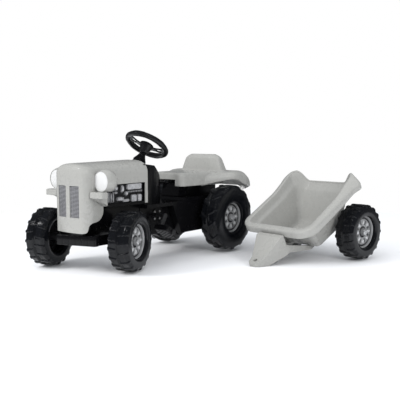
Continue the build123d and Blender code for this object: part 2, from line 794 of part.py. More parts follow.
# ---- tow hitch on the tractor's back, with a lift-out pin ------------------------------------------
hitch_y = 122
hitch_low = 188
hitch_gap = 34
plate = 5
with BuildPart() as hitch:
    with BuildSketch(Plane.YZ):
        with BuildLine():
            Polyline(
                (chassis_back, hitch_low),
                (hitch_y + 18, hitch_low),
                (hitch_y + 18, hitch_low + plate),
                (chassis_back + plate, hitch_low + plate),
                (chassis_back + plate, hitch_low + plate + hitch_gap),
                (hitch_y + 18, hitch_low + plate + hitch_gap),
                (hitch_y + 18, hitch_low + 2 * plate + hitch_gap),
                (chassis_back, hitch_low + 2 * plate + hitch_gap),
                close=True,
            )
        make_face()
    extrude(amount=22, both=True)
    with Locations((0, hitch_y, hitch_low)):
        Cylinder(pin_radius + run_gap, 120, mode=Mode.SUBTRACT)
keep(hitch, "tow_hitch")

pin_top = hitch_low + 2 * plate + hitch_gap + 2
with BuildPart() as tow_pin:
    with Locations((0, hitch_y, hitch_low - 6)):
        Cylinder(pin_radius, pin_top - hitch_low + 10, align=(Align.CENTER, Align.CENTER, Align.MIN))
    with Locations((0, hitch_y, pin_top)):
        Cylinder(14, 12, align=(Align.CENTER, Align.CENTER, Align.MIN))
keep(tow_pin, "tow_pin")

# ---- trailer: axle carrier, drawbar, tipping tub and latch ------------------------------------------
rail_x = 52
rail_half = 9
rail_low = small_radius - 14
rail_high = tub_floor - 4
rail_deep = 14                 # depth of each rail ahead of the axle
brace_front = tub_front - lip_out - 18
eye_low = eye_z - 7
eye_high = eye_z + 10


def parked_floor(v):
    # height of the floor in the level trailer's own frame when the drawbar rests on it
    pitch = radians(trailer_pitch)
    return small_radius - (small_radius + v * sin(pitch)) / cos(pitch)


with BuildPart() as drawbar:
    # two rails under the tub, joined by the nose that comes up in front of it
    for side in (1, -1):
        with BuildSketch(Plane.YZ.offset(side * rail_x - rail_half)):
            with BuildLine():
                Polyline(
                    (16, rail_low),
                    (16, rail_high),
                    (-160, rail_high),
                    (brace_front + 14, 215),
                    (brace_front, 215),
                    (brace_front, 188),
                    (-165, rail_high - rail_deep),
                    (-34, rail_high - rail_deep),
                    (-16, rail_low),
                    close=True,
                )
            make_face()
        extrude(amount=2 * rail_half)
    with BuildSketch(Plane.XY.offset(eye_z - 28)):
        with BuildLine():
            Polyline(
                (-61, brace_front + 14),
                (-61, brace_front - 4),
                (-24, eye_v - 4),
                (-24, eye_v - 12),
                (-14, eye_v - 24),
                (14, eye_v - 24),
                (24, eye_v - 12),
                (24, eye_v - 4),
                (61, brace_front - 4),
                (61, brace_front + 14),
                close=True,
            )
        make_face()
    extrude(amount=80)
    with BuildSketch(Plane.YZ):
        Polygon(
            (eye_v - 60, eye_high),
            (eye_v + 18, eye_high),
            (brace_front, 261),
            (brace_front + 40, 261),
            (brace_front + 40, 340),
            (eye_v - 60, 340),
            align=None,
        )
    extrude(amount=200, both=True, mode=Mode.SUBTRACT)
    with BuildSketch(Plane.YZ):
        Polygon(
            (eye_v + 30, eye_z - 60),
            (eye_v + 30, eye_z + 8),
            (brace_front - 6, 248),
            (brace_front + 9, 248),
            (brace_front + 9, eye_z - 60),
            align=None,
        )
    extrude(amount=30, both=True, mode=Mode.SUBTRACT)
    # the underside of the nose lies flat on the floor when the trailer is parked
    with BuildSketch(Plane.YZ):
        Polygon(
            (eye_v - 60, parked_floor(eye_v - 60)),
            (eye_v + 140, parked_floor(eye_v + 140)),
            (eye_v + 140, -200),
            (eye_v - 60, -200),
            align=None,
        )
    extrude(amount=200, both=True, mode=Mode.SUBTRACT)
    with Locations((0, eye_v, eye_low)):
        Cylinder(pin_radius + pin_gap, 120, mode=Mode.SUBTRACT)
        Cylinder(14, 60, align=(Align.CENTER, Align.CENTER, Align.MAX), mode=Mode.SUBTRACT)
    with Locations((0, 0, small_radius)):
        Cylinder(axle_radius + run_gap, 400, rotation=(0, 90, 0), mode=Mode.SUBTRACT)
keep(drawbar, "drawbar", tilt_place)

lip_low = tub_rim - lip_drop
lug_x = rail_x + rail_half + 4
with BuildPart() as tub:
    with BuildSketch(Plane.XY.offset(tub_floor)):
        with Locations((0, -88)):
            RectangleRounded(2 * 104, 150, 20)
    with BuildSketch(Plane.XY.offset(tub_rim)):
        with Locations((0, (tub_front + tub_back) / 2)):
            RectangleRounded(2 * tub_half, tub_back - tub_front, 34)
    loft()
    top = tub.faces().sort_by(Axis.Z)[-1]
    offset(amount=-wall, openings=top)
    with BuildSketch(Plane.XY.offset(tub_rim - wall)):
        with Locations((0, (tub_front + tub_back) / 2)):
            RectangleRounded(
                2 * (tub_half + lip_out), tub_back - tub_front + 2 * lip_out, 34 + lip_out
            )
            RectangleRounded(
                2 * tub_half - 2, tub_back - tub_front - 2, 33, mode=Mode.SUBTRACT
            )
    extrude(amount=wall)
    with BuildSketch(Plane.XY.offset(lip_low)):
        with Locations((0, (tub_front + tub_back) / 2)):
            RectangleRounded(
                2 * (tub_half + lip_out), tub_back - tub_front + 2 * lip_out, 34 + lip_out
            )
            RectangleRounded(
                2 * (tub_half + lip_out - wall), tub_back - tub_front + 2 * (lip_out - wall),
                34 + lip_out - wall, mode=Mode.SUBTRACT,
            )
    extrude(amount=lip_drop)
    # raised rear corners
    for side in (1, -1):
        with BuildSketch(Plane.YZ.offset(side * (tub_half + 3))):
            Polygon(
                (-20, tub_rim - wall),
                (tub_back - 26, ear_top),
                (tub_back + 6, ear_top),
                (tub_back + 6, tub_rim - wall),
                align=None,
            )
        extrude(amount=side * wall)
        with BuildSketch(Plane.XZ.offset(-tub_back - 6)):
            Polygon(
                (side * sill_half, tub_rim - wall),
                (side * (tub_half - 16), ear_top),
                (side * (tub_half + 3 + wall), ear_top),
                (side * (tub_half + 3 + wall), tub_rim - wall),
                align=None,
            )
        extrude(amount=wall)
    # lugs under the floor that carry the tub on the axle
    for side in (1, -1):
        with BuildSketch(Plane.YZ.offset(side * lug_x)):
            Polygon(
                (-16, tub_floor + 4),
                (-13, small_radius - 13),
                (13, small_radius - 13),
                (16, tub_floor + 14),
                align=None,
            )
        extrude(amount=side * 12)
    with Locations((0, 0, small_radius)):
        Cylinder(axle_radius + run_gap, 400, rotation=(0, 90, 0), mode=Mode.SUBTRACT)
keep(tub, "trailer_tub", tilt_place)

# ---- the set, moved to its origin and written out ----------------------------------------------------
boxes = [piece.bounding_box() for piece in pieces.values()]
middle_x = (min(box.min.X for box in boxes) + max(box.max.X for box in boxes)) / 2
middle_y = (min(box.min.Y for box in boxes) + max(box.max.Y for box in boxes)) / 2
floor_z = min(box.min.Z for box in boxes)
to_origin = Location((-middle_x, -middle_y, -floor_z))
for name, piece in pieces.items():
    placed = piece.moved(to_origin)
    placed.label = name
    export_step(placed, f"parts/{name}.step")
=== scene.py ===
import json
from math import atan2, cos, pi, radians, sin

import bmesh
import bpy
import numpy as np
from mathutils import Matrix, Vector


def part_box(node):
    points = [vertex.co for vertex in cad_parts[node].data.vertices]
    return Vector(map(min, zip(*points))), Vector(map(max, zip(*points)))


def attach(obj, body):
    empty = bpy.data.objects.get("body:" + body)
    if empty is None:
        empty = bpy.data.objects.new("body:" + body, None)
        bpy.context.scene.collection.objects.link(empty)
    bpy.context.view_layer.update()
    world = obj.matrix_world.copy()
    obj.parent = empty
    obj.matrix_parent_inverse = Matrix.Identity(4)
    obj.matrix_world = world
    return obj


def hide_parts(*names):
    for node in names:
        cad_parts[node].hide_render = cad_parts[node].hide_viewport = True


# A child's pedal tractor in black and warm grey plastic, with its tipping trailer beside it.
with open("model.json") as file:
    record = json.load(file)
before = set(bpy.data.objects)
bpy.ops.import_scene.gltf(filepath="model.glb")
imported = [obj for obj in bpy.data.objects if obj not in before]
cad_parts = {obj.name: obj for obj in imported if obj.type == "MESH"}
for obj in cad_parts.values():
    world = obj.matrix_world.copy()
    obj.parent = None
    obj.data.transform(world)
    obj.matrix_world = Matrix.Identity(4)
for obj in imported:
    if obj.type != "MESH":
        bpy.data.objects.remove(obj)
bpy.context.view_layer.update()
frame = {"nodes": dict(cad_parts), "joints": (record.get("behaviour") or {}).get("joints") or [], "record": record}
joints = {joint["name"]: joint for joint in frame["joints"]}
couplings = {link["joint"]: link for link in frame["record"]["behaviour"]["couplings"]}
print("frame loaded")


# places, all read from the frame
def pivot(name):
    return Vector(joints[name]["pos_m"])


def spinAxis(name):
    return Vector(joints[name]["axis"])


def turnedPlace(spot, angle):
    # a place at spot, turned about the upright
    return Matrix.Translation(spot) @ Matrix.Rotation(angle, 4, "Z")


rearAxle = pivot("rear_axle_spin")
tractorPlace = Matrix.Translation(Vector((rearAxle.x, rearAxle.y, 0)))
frontTurn = atan2(spinAxis("front_left_spin").y, spinAxis("front_left_spin").x)
kingpinSpot = pivot("axle_swivel")
frontPlace = turnedPlace(Vector((kingpinSpot.x, kingpinSpot.y, 0)), frontTurn)
trailerTurn = atan2(spinAxis("trailer_left_spin").y, spinAxis("trailer_left_spin").x)
trailerAxle = pivot("drawbar_pitch")
trailerTilt = radians(joints["drawbar_pitch"]["range_deg"][1])
tiltPlace = (
    turnedPlace(trailerAxle, trailerTurn)
    @ Matrix.Rotation(trailerTilt, 4, "X")
    @ Matrix.Translation(Vector((0, 0, -trailerAxle.z)))
)
columnAxis = spinAxis("steering_turn")
columnTurn = frontTurn * couplings["steering_turn"]["ratio"]
columnLean = atan2(columnAxis.y, columnAxis.z)
straightColumnPlace = Matrix.Translation(pivot("steering_turn")) @ Matrix.Rotation(-columnLean, 4, "X")
columnPlace = straightColumnPlace @ Matrix.Rotation(columnTurn, 4, "Z")


# making meshes
def addGroup(name, sockets, outputs):
    group = bpy.data.node_groups.new(name, "ShaderNodeTree")
    for label, kind, value in sockets:
        socket = group.interface.new_socket(label, in_out="INPUT", socket_type=kind)
        if value is not None:
            socket.default_value = value
    for label, kind in outputs:
        group.interface.new_socket(label, in_out="OUTPUT", socket_type=kind)
    return group, group.nodes.new("NodeGroupInput"), group.nodes.new("NodeGroupOutput")


def noiseNode(nodes, links, vector, scale, detail, rough=0.5):
    noise = nodes.new("ShaderNodeTexNoise")
    noise.inputs["Scale"].default_value = scale
    noise.inputs["Detail"].default_value = detail
    noise.inputs["Roughness"].default_value = rough
    links.new(vector, noise.inputs["Vector"])
    return noise.outputs["Fac"]


def spread(nodes, links, value, low, high):
    # a 0 to 1 value spread between two levels
    mapped = nodes.new("ShaderNodeMapRange")
    mapped.inputs["From Min"].default_value = 0.25
    mapped.inputs["From Max"].default_value = 0.75
    links.new(value, mapped.inputs["Value"])
    for socket, level in (("To Min", low), ("To Max", high)):
        if isinstance(level, (int, float)):
            mapped.inputs[socket].default_value = level
        else:
            links.new(level, mapped.inputs[socket])
    return mapped.outputs["Result"]


def makeMouldedFinish():
    # Cloudy colour, uneven gloss and a fine orange-peel skin, as moulded plastic has.
    group, inside, outside = addGroup(
        "mouldedFinish",
        [
            ("Vector", "NodeSocketVector", None),
            ("Light Colour", "NodeSocketColor", (0.5, 0.5, 0.5, 1)),
            ("Dark Colour", "NodeSocketColor", (0.4, 0.4, 0.4, 1)),
            ("Smooth", "NodeSocketFloat", 0.25),
            ("Rough", "NodeSocketFloat", 0.4),
            ("Cloud Scale", "NodeSocketFloat", 9.0),
            ("Skin Scale", "NodeSocketFloat", 420.0),
            ("Skin Depth", "NodeSocketFloat", 0.1),
        ],
        [("Colour", "NodeSocketColor"), ("Roughness", "NodeSocketFloat"), ("Normal", "NodeSocketVector")],
    )
    nodes, links = group.nodes, group.links
    clouds = nodes.new("ShaderNodeTexNoise")
    clouds.inputs["Detail"].default_value = 4
    links.new(inside.outputs["Vector"], clouds.inputs["Vector"])
    links.new(inside.outputs["Cloud Scale"], clouds.inputs["Scale"])
    mix = nodes.new("ShaderNodeMix")
    mix.data_type = "RGBA"
    links.new(spread(nodes, links, clouds.outputs["Fac"], 0.0, 1.0), mix.inputs["Factor"])
    links.new(inside.outputs["Dark Colour"], mix.inputs["A"])
    links.new(inside.outputs["Light Colour"], mix.inputs["B"])
    links.new(mix.outputs["Result"], outside.inputs["Colour"])
    handling = noiseNode(nodes, links, inside.outputs["Vector"], 31, 6, 0.62)
    gloss = spread(nodes, links, handling, inside.outputs["Smooth"], inside.outputs["Rough"])
    links.new(gloss, outside.inputs["Roughness"])
    skin = nodes.new("ShaderNodeTexNoise")
    skin.inputs["Detail"].default_value = 2
    links.new(inside.outputs["Vector"], skin.inputs["Vector"])
    links.new(inside.outputs["Skin Scale"], skin.inputs["Scale"])
    bump = nodes.new("ShaderNodeBump")
    bump.inputs["Distance"].default_value = 0.0004
    links.new(inside.outputs["Skin Depth"], bump.inputs["Strength"])
    links.new(skin.outputs["Fac"], bump.inputs["Height"])
    links.new(bump.outputs["Normal"], outside.inputs["Normal"])
    return group


mouldedFinish = makeMouldedFinish()


def plastic(name, light, dark, smooth, rough, cloudScale=9.0, skinScale=420.0, skinDepth=0.1,
            coat=0.0, specular=0.5, metallic=0.0):
    # a moulded finish; colours are linear red, green and blue
    material = bpy.data.materials.new(name)
    material.use_nodes = True
    nodes, links = material.node_tree.nodes, material.node_tree.links
    shader = nodes["Principled BSDF"]
    shader.inputs["Coat Weight"].default_value = coat
    shader.inputs["Coat Roughness"].default_value = 0.08
    shader.inputs["Specular IOR Level"].default_value = specular
    shader.inputs["Metallic"].default_value = metallic
    place = nodes.new("ShaderNodeTexCoord")
    finish = nodes.new("ShaderNodeGroup")
    finish.node_tree = mouldedFinish
    links.new(place.outputs["Object"], finish.inputs["Vector"])
    values = {
        "Light Colour": (*light, 1), "Dark Colour": (*dark, 1), "Smooth": smooth, "Rough": rough,
        "Cloud Scale": cloudScale, "Skin Scale": skinScale, "Skin Depth": skinDepth,
    }
    for label, value in values.items():
        finish.inputs[label].default_value = value
    links.new(finish.outputs["Colour"], shader.inputs["Base Color"])
    links.new(finish.outputs["Roughness"], shader.inputs["Roughness"])
    links.new(finish.outputs["Normal"], shader.inputs["Normal"])
    material.diffuse_color = (*light, 1)
    return material


def recessShadePainted(material, shadeColour, attribute="relief"):
    # low places of a relief take a dark colour: painted shade where the recesses would fall into shadow
    nodes, links = material.node_tree.nodes, material.node_tree.links
    shader = nodes["Principled BSDF"]
    surface = shader.inputs["Base Color"].links[0].from_socket
    height = nodes.new("ShaderNodeAttribute")
    height.attribute_name = attribute
    mix = nodes.new("ShaderNodeMix")
    mix.data_type = "RGBA"
    mix.inputs["A"].default_value = (*shadeColour, 1)
    links.new(height.outputs["Fac"], mix.inputs["Factor"])
    links.new(surface, mix.inputs["B"])
    links.new(mix.outputs["Result"], shader.inputs["Base Color"])
    return material


finishes = {
    "greyPlastic": plastic("greyPlastic", (0.322, 0.320, 0.303), (0.310, 0.308, 0.292), 0.22, 0.34,
                           skinDepth=0.05, coat=0.12, specular=0.4),
    "blackPlastic": plastic("blackPlastic", (0.0040, 0.0040, 0.0046), (0.0026, 0.0026, 0.0032), 0.14, 0.30,
                            skinDepth=0.06, specular=0.20),
    "tyreBlack": plastic("tyreBlack", (0.0050, 0.0055, 0.0070), (0.0032, 0.0036, 0.0046), 0.11, 0.22,
                         cloudScale=14.0, skinDepth=0.05, coat=0.05, specular=0.24),
    "gripBlack": plastic("gripBlack", (0.009, 0.009, 0.010), (0.006, 0.006, 0.007), 0.24, 0.4,
                         skinScale=800.0, skinDepth=0.25, specular=0.35),
    # painted shade: the rim's low, flat parts take a near-black colour as if in shadow
    "rimSilver": recessShadePainted(
        plastic("rimSilver", (0.58, 0.585, 0.59), (0.44, 0.445, 0.45), 0.24, 0.42,
                cloudScale=120.0, skinScale=600.0, skinDepth=0.25, metallic=0.3),
        (0.022, 0.022, 0.024)),
    "capSilver": plastic("capSilver", (0.50, 0.505, 0.51), (0.36, 0.365, 0.37), 0.18, 0.32,
                         cloudScale=60.0, metallic=0.6),
    "lensWhite": plastic("lensWhite", (0.60, 0.60, 0.595), (0.58, 0.58, 0.575), 0.1, 0.2,
                         skinDepth=0.02, coat=0.3),
    # painted shade: the gaps between the grille bars take a near-black colour
    "grilleGrey": recessShadePainted(
        plastic("grilleGrey", (0.27, 0.27, 0.28), (0.21, 0.21, 0.22), 0.35, 0.5, skinDepth=0.1),
        (0.020, 0.020, 0.024)),
    # painted shade: the deep background behind the engine parts takes a near-black colour
    "engineSilver": recessShadePainted(
        plastic("engineSilver", (0.66, 0.66, 0.67), (0.36, 0.36, 0.38), 0.2, 0.40,
                cloudScale=90.0, skinDepth=0.25, metallic=0.35),
        (0.006, 0.006, 0.007)),
    "steel": plastic("steel", (0.55, 0.55, 0.55), (0.40, 0.40, 0.41), 0.22, 0.4,
                     cloudScale=80.0, skinScale=900.0, skinDepth=0.2, metallic=1.0),
    "darkSteel": plastic("darkSteel", (0.014, 0.014, 0.016), (0.009, 0.009, 0.010), 0.22, 0.4,
                         cloudScale=60.0, skinDepth=0.2, coat=0.15),
}


def gridFaces(rows, columns, loopRows=False, loopColumns=False):
    # the quads of a rows x columns grid of points, optionally closed each way
    i = np.arange(rows if loopRows else rows - 1)[:, None]
    j = np.arange(columns if loopColumns else columns - 1)[None, :]
    nextI, nextJ = (i + 1) % rows, (j + 1) % columns
    corners = (i * columns + j, i * columns + nextJ, nextI * columns + nextJ, nextI * columns + j)
    return np.stack([corner + 0 * i + 0 * j for corner in corners], axis=-1).reshape(-1, 4)


def shell(points, loopRows=False, loopColumns=False, capRows=False):
    # points is a rows x columns x 3 array; capRows closes both ends of a tube with a flat face
    rows, columns = points.shape[:2]
    faces = gridFaces(rows, columns, loopRows, loopColumns).tolist()
    if capRows:
        faces.append(list(range(columns))[::-1])
        faces.append(list(range((rows - 1) * columns, rows * columns)))
    return points.reshape(-1, 3), faces


def closedForm(rings):
    # rings of equal count joined from the first to the last, both ends closed
    return shell(np.stack(rings), loopColumns=True, capRows=True)


def twoSkins(front, back):
    # two grids of the same size joined round their edges into one closed form
    rows, columns = front.shape[:2]
    count = rows * columns
    edge = np.concatenate([np.arange(columns), np.arange(1, rows) * columns + columns - 1,
                           (rows - 1) * columns + np.arange(columns - 2, -1, -1),
                           np.arange(rows - 2, 0, -1) * columns])
    after = np.roll(edge, -1)
    faces = gridFaces(rows, columns)
    walls = np.stack([edge, edge + count, after + count, after], -1)
    points = np.concatenate([front.reshape(-1, 3), back.reshape(-1, 3)])
    return points, np.concatenate([faces, faces[:, ::-1] + count, walls]).tolist()


def joinShells(shells):
    points, faces, start = [], [], 0
    for shellPoints, shellFaces in shells:
        points.append(shellPoints)
        faces.extend([[start + corner for corner in face] for face in shellFaces])
        start += len(shellPoints)
    return np.concatenate(points), faces


def moved(part, matrix):
    points, faces = part
    turn = np.array(matrix.to_3x3())
    return points @ turn.T + np.array(matrix.translation), faces


def smoothEdges(mesh, angle):
    mesh.shade_smooth()
    mesh.set_sharp_from_angle(angle=radians(angle))


def outwards(mesh):
    # recalculates the normals so that every closed shell faces out
    work = bmesh.new()
    work.from_mesh(mesh)
    bmesh.ops.recalc_face_normals(work, faces=work.faces)
    work.to_mesh(mesh)
    work.free()


def placed(name, data):
    thing = bpy.data.objects.new(name, data)
    bpy.context.scene.collection.objects.link(thing)
    return thing


def makeObject(name, part, place, angle=40.0):
    points, faces = moved(part, place)
    mesh = bpy.data.meshes.new(name)
    mesh.from_pydata(points.tolist(), [], faces)
    mesh.validate()
    outwards(mesh)
    smoothEdges(mesh, angle)
    return placed(name, mesh)


def dress(piece, body, finish, *nodes):
    # gives a piece its finish, the body it moves with and the nodes it stands for
    piece.data.materials.clear()
    piece.data.materials.append(finishes[finish])
    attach(piece, body)
    if nodes:
        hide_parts(*nodes)
    return piece


def applied(piece, angle=40.0):
    # works the modifiers into the mesh
    graph = bpy.context.evaluated_depsgraph_get()
    mesh = bpy.data.meshes.new_from_object(piece.evaluated_get(graph))
    piece.modifiers.clear()
    old = piece.data
    piece.data = mesh
    bpy.data.meshes.remove(old)
    smoothEdges(mesh, angle)
    return piece


def cutAway(piece, cutters, operation="DIFFERENCE"):
    # takes closed shells out of a piece, then removes them
    for cutter in cutters:
        change = piece.modifiers.new("cut", "BOOLEAN")
        change.operation = operation
        change.solver = "EXACT"
        change.object = cutter
    applied(piece)
    for cutter in cutters:
        bpy.data.objects.remove(cutter)
    return piece


def roundEdges(piece, width, segments=3, limit=35.0):
    bevel = piece.modifiers.new("soft edges", "BEVEL")
    bevel.width = width
    bevel.segments = segments
    bevel.limit_method = "ANGLE"
    bevel.angle_limit = radians(limit)
    bevel.miter_outer = "MITER_ARC"
    bevel.use_clamp_overlap = True
    bevel.harden_normals = False
    weights = piece.modifiers.new("even shading", "WEIGHTED_NORMAL")
    weights.keep_sharp = True
    return piece


def mergedCopy(node, name):
    # the node's own shape as one welded mesh, its flat faces whole again
    mesh = frame["nodes"][node].data.copy()
    mesh.name = name
    work = bmesh.new()
    work.from_mesh(mesh)
    bmesh.ops.remove_doubles(work, verts=work.verts, dist=1e-6)
    bmesh.ops.dissolve_limit(work, angle_limit=radians(1.0), verts=work.verts, edges=work.edges)
    work.to_mesh(mesh)
    work.free()
    smoothEdges(mesh, 30)
    return placed(name, mesh)


def softened(node, body, finish, width, segments=2):
    piece = mergedCopy(node, node + "_moulded")
    roundEdges(piece, width, segments)
    return dress(piece, body, finish, node)


def prism(outline, axis, low, high):
    # an outline of (a, b) points carried from low to high along an axis: x gives (y, z), y gives (x, z)
    a, b = np.array(outline, float).T
    ends = np.stack([np.full_like(a, low), np.full_like(a, high)])
    flat = [np.stack([a, a]), np.stack([b, b])]
    order = {"x": [ends, flat[0], flat[1]], "y": [flat[0], ends, flat[1]], "z": [flat[0], flat[1], ends]}
    return shell(np.stack(order[axis], axis=-1), loopColumns=True, capRows=True)


def box(low, high):
    return prism([(low[0], low[1]), (high[0], low[1]), (high[0], high[1]), (low[0], high[1])], "z",
                 low[2], high[2])


def roundedRing(halfX, yFront, yBack, radius, z, steps=8, sides=6):
    # A rectangle with quarter-circle corners, walked anticlockwise from the right of its front edge.
    # Every ring has the same number of points, so that rings join into a surface.
    radius = min(radius, halfX * 0.98, (yBack - yFront) / 2 * 0.98)
    corners = ((halfX - radius, yFront + radius, -pi / 2), (halfX - radius, yBack - radius, 0),
               (radius - halfX, yBack - radius, pi / 2), (radius - halfX, yFront + radius, pi))
    turns = np.linspace(0, pi / 2, steps)
    arcs = [np.stack([x + radius * np.cos(start + turns), y + radius * np.sin(start + turns)], -1)
            for x, y, start in corners]
    walk = []
    for index, arc in enumerate(arcs):
        after = arcs[(index + 1) % 4][0]
        fractions = np.linspace(0, 1, sides + 1)[1:-1, None]
        walk += [arc, arc[-1] * (1 - fractions) + after * fractions]
    flat = np.concatenate(walk)
    return np.column_stack([flat, np.full(len(flat), float(z))])


def latheSurface(profile, steps, axis="x", closedLoop=True, relief=None):
    # A profile of (along, radius) points turned about an axis. relief(angle, along, radius) moves
    # the surface along its profile's normal.
    profile = np.array(profile, float)
    angles = np.linspace(0, 2 * pi, steps, endpoint=False)
    along = np.repeat(profile[:, 0][:, None], steps, 1)
    radius = np.repeat(profile[:, 1][:, None], steps, 1)
    if relief is not None:
        before, after = np.roll(profile, 1, 0), np.roll(profile, -1, 0)
        tangent = after - before
        tangent /= np.linalg.norm(tangent, axis=1)[:, None] + 1e-12
        push = relief(angles[None, :], along, radius)
        along = along + push * -tangent[:, 1][:, None]
        radius = radius + push * tangent[:, 0][:, None]
    across, up = radius * np.cos(angles), radius * np.sin(angles)
    order = {"x": (along, across, up), "y": (up, along, across), "z": (across, up, along)}[axis]
    return shell(np.stack(order, -1), loopRows=closedLoop, loopColumns=True, capRows=not closedLoop)


def smoothStep(value, low, high):
    t = np.clip((value - low) / (high - low), 0, 1)
    return t * t * (3 - 2 * t)


def paintShadeMask(piece, values):
    # stores a per-point mask in the relief attribute; low values get painted shade
    layer = piece.data.attributes.new("relief", "FLOAT", "POINT")
    layer.data.foreach_set("value", np.asarray(values, dtype=np.float32))


def reliefPanel(width, height, depth, rise, rows, columns):
    # A slab in x (across) and z (up), its front at y = -depth - rise(x, z), its back flat at y = 0.
    # Returns the shell and the relief of each point, which also serves as the mask for painted shade in the low
    # places.
    x = np.linspace(-width / 2, width / 2, columns)[None, :] + np.zeros((rows, 1))
    z = np.linspace(-height / 2, height / 2, rows)[:, None] + np.zeros((1, columns))
    lift = rise(x, z)
    front = np.stack([x, -depth - lift, z], -1)
    back = np.stack([x, np.zeros_like(x), z], -1)
    shadeMask = np.concatenate([lift.ravel() / max(lift.max(), 1e-9), np.zeros(rows * columns)])
    return twoSkins(front, back), shadeMask


# tyres: chevron lugs on a smooth hollow carcass
smallTyre = {"radius": 0.112, "half": 0.043, "lugs": 18, "lugHeight": 0.0042, "slant": 0.16,
             "bend": 1.1, "barShare": 0.72, "ridge": 0.0030, "steps": 18 * 26}
bigTyre = {"radius": 0.144, "half": 0.045, "lugs": 13, "lugHeight": 0.0065, "slant": 0.42,
           "bend": 1.4, "barShare": 0.64, "ridge": 0.0025, "steps": 13 * 36}
bead = {"radius": 0.0635, "inset": 0.0055}


def tyreProfile(size):
    # One loop: bead, bulging sidewall, round shoulder, slightly crowned tread and back again,
    # then the inner wall. The sidewall is a quarter of a superellipse from bead to tread.
    half, radius = size["half"] - 0.0022, size["radius"] - size["lugHeight"]
    t = np.linspace(0, pi / 2, 26)
    side = half * np.cos(t) ** 0.19
    rise = bead["radius"] + 0.010 + (radius - bead["radius"] - 0.010) * np.sin(t) ** 0.62
    outer = np.column_stack([side, rise])[:-1]
    tread = np.column_stack([np.linspace(outer[-1, 0], -outer[-1, 0], 34)[1:-1], np.full(32, radius)])
    tread[:, 1] -= 0.0015 * (tread[:, 0] / half) ** 2
    lip = np.array([[half - bead["inset"], bead["radius"]],
                    [half - bead["inset"] * 0.4, bead["radius"] + 0.002],
                    [half - 0.0008, bead["radius"] + 0.006]])
    right = np.concatenate([lip, outer])
    left = right[::-1] * (-1, 1)
    inner = np.array([[-half + 0.012, bead["radius"]], [half - 0.012, bead["radius"]]])
    return np.concatenate([right, tread, left, inner])


def tyrePart(size):
    half, radius, height = size["half"], size["radius"], size["lugHeight"]

    def lugs(angle, along, rise):
        # Bars in two rows, half a pitch apart, each swept back from the centre ridge and wrapped
        # over the shoulder, where they fade out.
        t = np.abs(along) / half
        stagger = np.where(along > 0, 0.0, 0.5)
        phase = (angle * size["lugs"] / (2 * pi) + size["slant"] * t ** size["bend"] + stagger) % 1.0
        fromMiddle = np.abs(phase - 0.5) * 2
        share = size["barShare"] * (1.04 - 0.10 * t)
        bar = 1 - smoothStep(fromMiddle, share - 0.05, share + 0.09)
        inner = smoothStep(np.abs(along), 0.0035, 0.0065)
        outer = smoothStep(rise, radius - 0.019, radius - 0.011)
        ridge = (1 - smoothStep(np.abs(along), 0.0016, 0.0034)) * (rise > radius - 0.02)
        return bar * inner * outer * height * 0.98 + ridge * size["ridge"]

    return latheSurface(tyreProfile(size), size["steps"], relief=lugs)


wheelRim = {"recess": 0.0275, "radius": 0.0626, "bore": 0.0066, "knobs": 8, "knobRadius": 0.0375,
            "knobLong": 0.0095, "knobWide": 0.0065, "knobRise": 0.0036, "steps": 240}


def rimPart(size, half):
    # A dished disc: rolled outer ring, trough, raised ring with oval knobs, hub. The front is the
    # height over the disc as a function of the radius and the angle.
    radii = np.concatenate([np.linspace(size["bore"], 0.016, 8), np.linspace(0.0168, 0.0575, 46),
                            np.linspace(0.0580, size["radius"], 12)])
    face = half - size["recess"]
    dish = (0.0125 * (1 - smoothStep(radii, 0.0135, 0.0165))
            + 0.0048 * smoothStep(radii, 0.0205, 0.0235) * (1 - smoothStep(radii, 0.0495, 0.0530))
            + 0.0115 * smoothStep(radii, 0.0555, 0.0600)
            - 0.0015 * smoothStep(radii, 0.0612, size["radius"]))
    front = np.column_stack([face + dish, radii])
    back = np.array([[face - 0.0120, size["radius"]], [face - 0.0120, 0.0590],
                     [face - 0.0035, 0.0570], [face - 0.0035, 0.0150], [-half + 0.002, 0.0150],
                     [-half + 0.002, size["bore"]]])
    profile = np.concatenate([front, back])
    frontRows = len(front)
    # the raised rings stay silver; the low disc is left dark as painted shade
    raised = np.concatenate([smoothStep(dish, 0.0012, 0.0044), np.zeros(len(back))])
    raised[:frontRows] += 0.4 * smoothStep(radii, 0.0560, 0.0595)

    def knobs(angle, radius):
        # how far the front is pushed in, and the painted shade mask: low disc and hollows dark, raised rings and
        # knobs silver
        pitch = 2 * pi / size["knobs"]
        offset = (angle + pitch / 2) % pitch - pitch / 2
        oval = np.sqrt((offset * radius / size["knobWide"]) ** 2
                       + ((radius - size["knobRadius"]) / size["knobLong"]) ** 2)
        dome = 1 - smoothStep(oval, 0.72, 1.0)
        hollow = 1 - smoothStep(np.abs((angle % pitch) - pitch / 2) * radius, 0.0035, 0.0050)
        hollow = hollow * (1 - smoothStep(np.abs(radius - size["knobRadius"]), 0.0075, 0.0095))
        flutes = 0.0006 * np.cos(40 * angle) * smoothStep(radius, 0.0535, 0.0545) * (
            1 - smoothStep(radius, 0.0570, 0.0580))
        onFront = (np.arange(len(profile)) < frontRows)[:, None]
        shadeMask = (0.50 * raised[:, None] + 0.75 * dome - 0.42 * hollow) * onFront
        return -(size["knobRise"] * dome - 0.0016 * hollow + flutes) * onFront, np.clip(shadeMask, 0, 1)

    angles = np.linspace(0, 2 * pi, size["steps"], endpoint=False)[None, :]
    shadeMask = knobs(angles, profile[:, 1][:, None])[1]
    part = latheSurface(profile, size["steps"], relief=lambda angle, along, radius: knobs(angle, radius)[0])
    return part, np.broadcast_to(shadeMask, (len(profile), size["steps"])).ravel()


axleCap = {"radius": 0.0125, "depth": 0.0060, "proud": 0.0130}


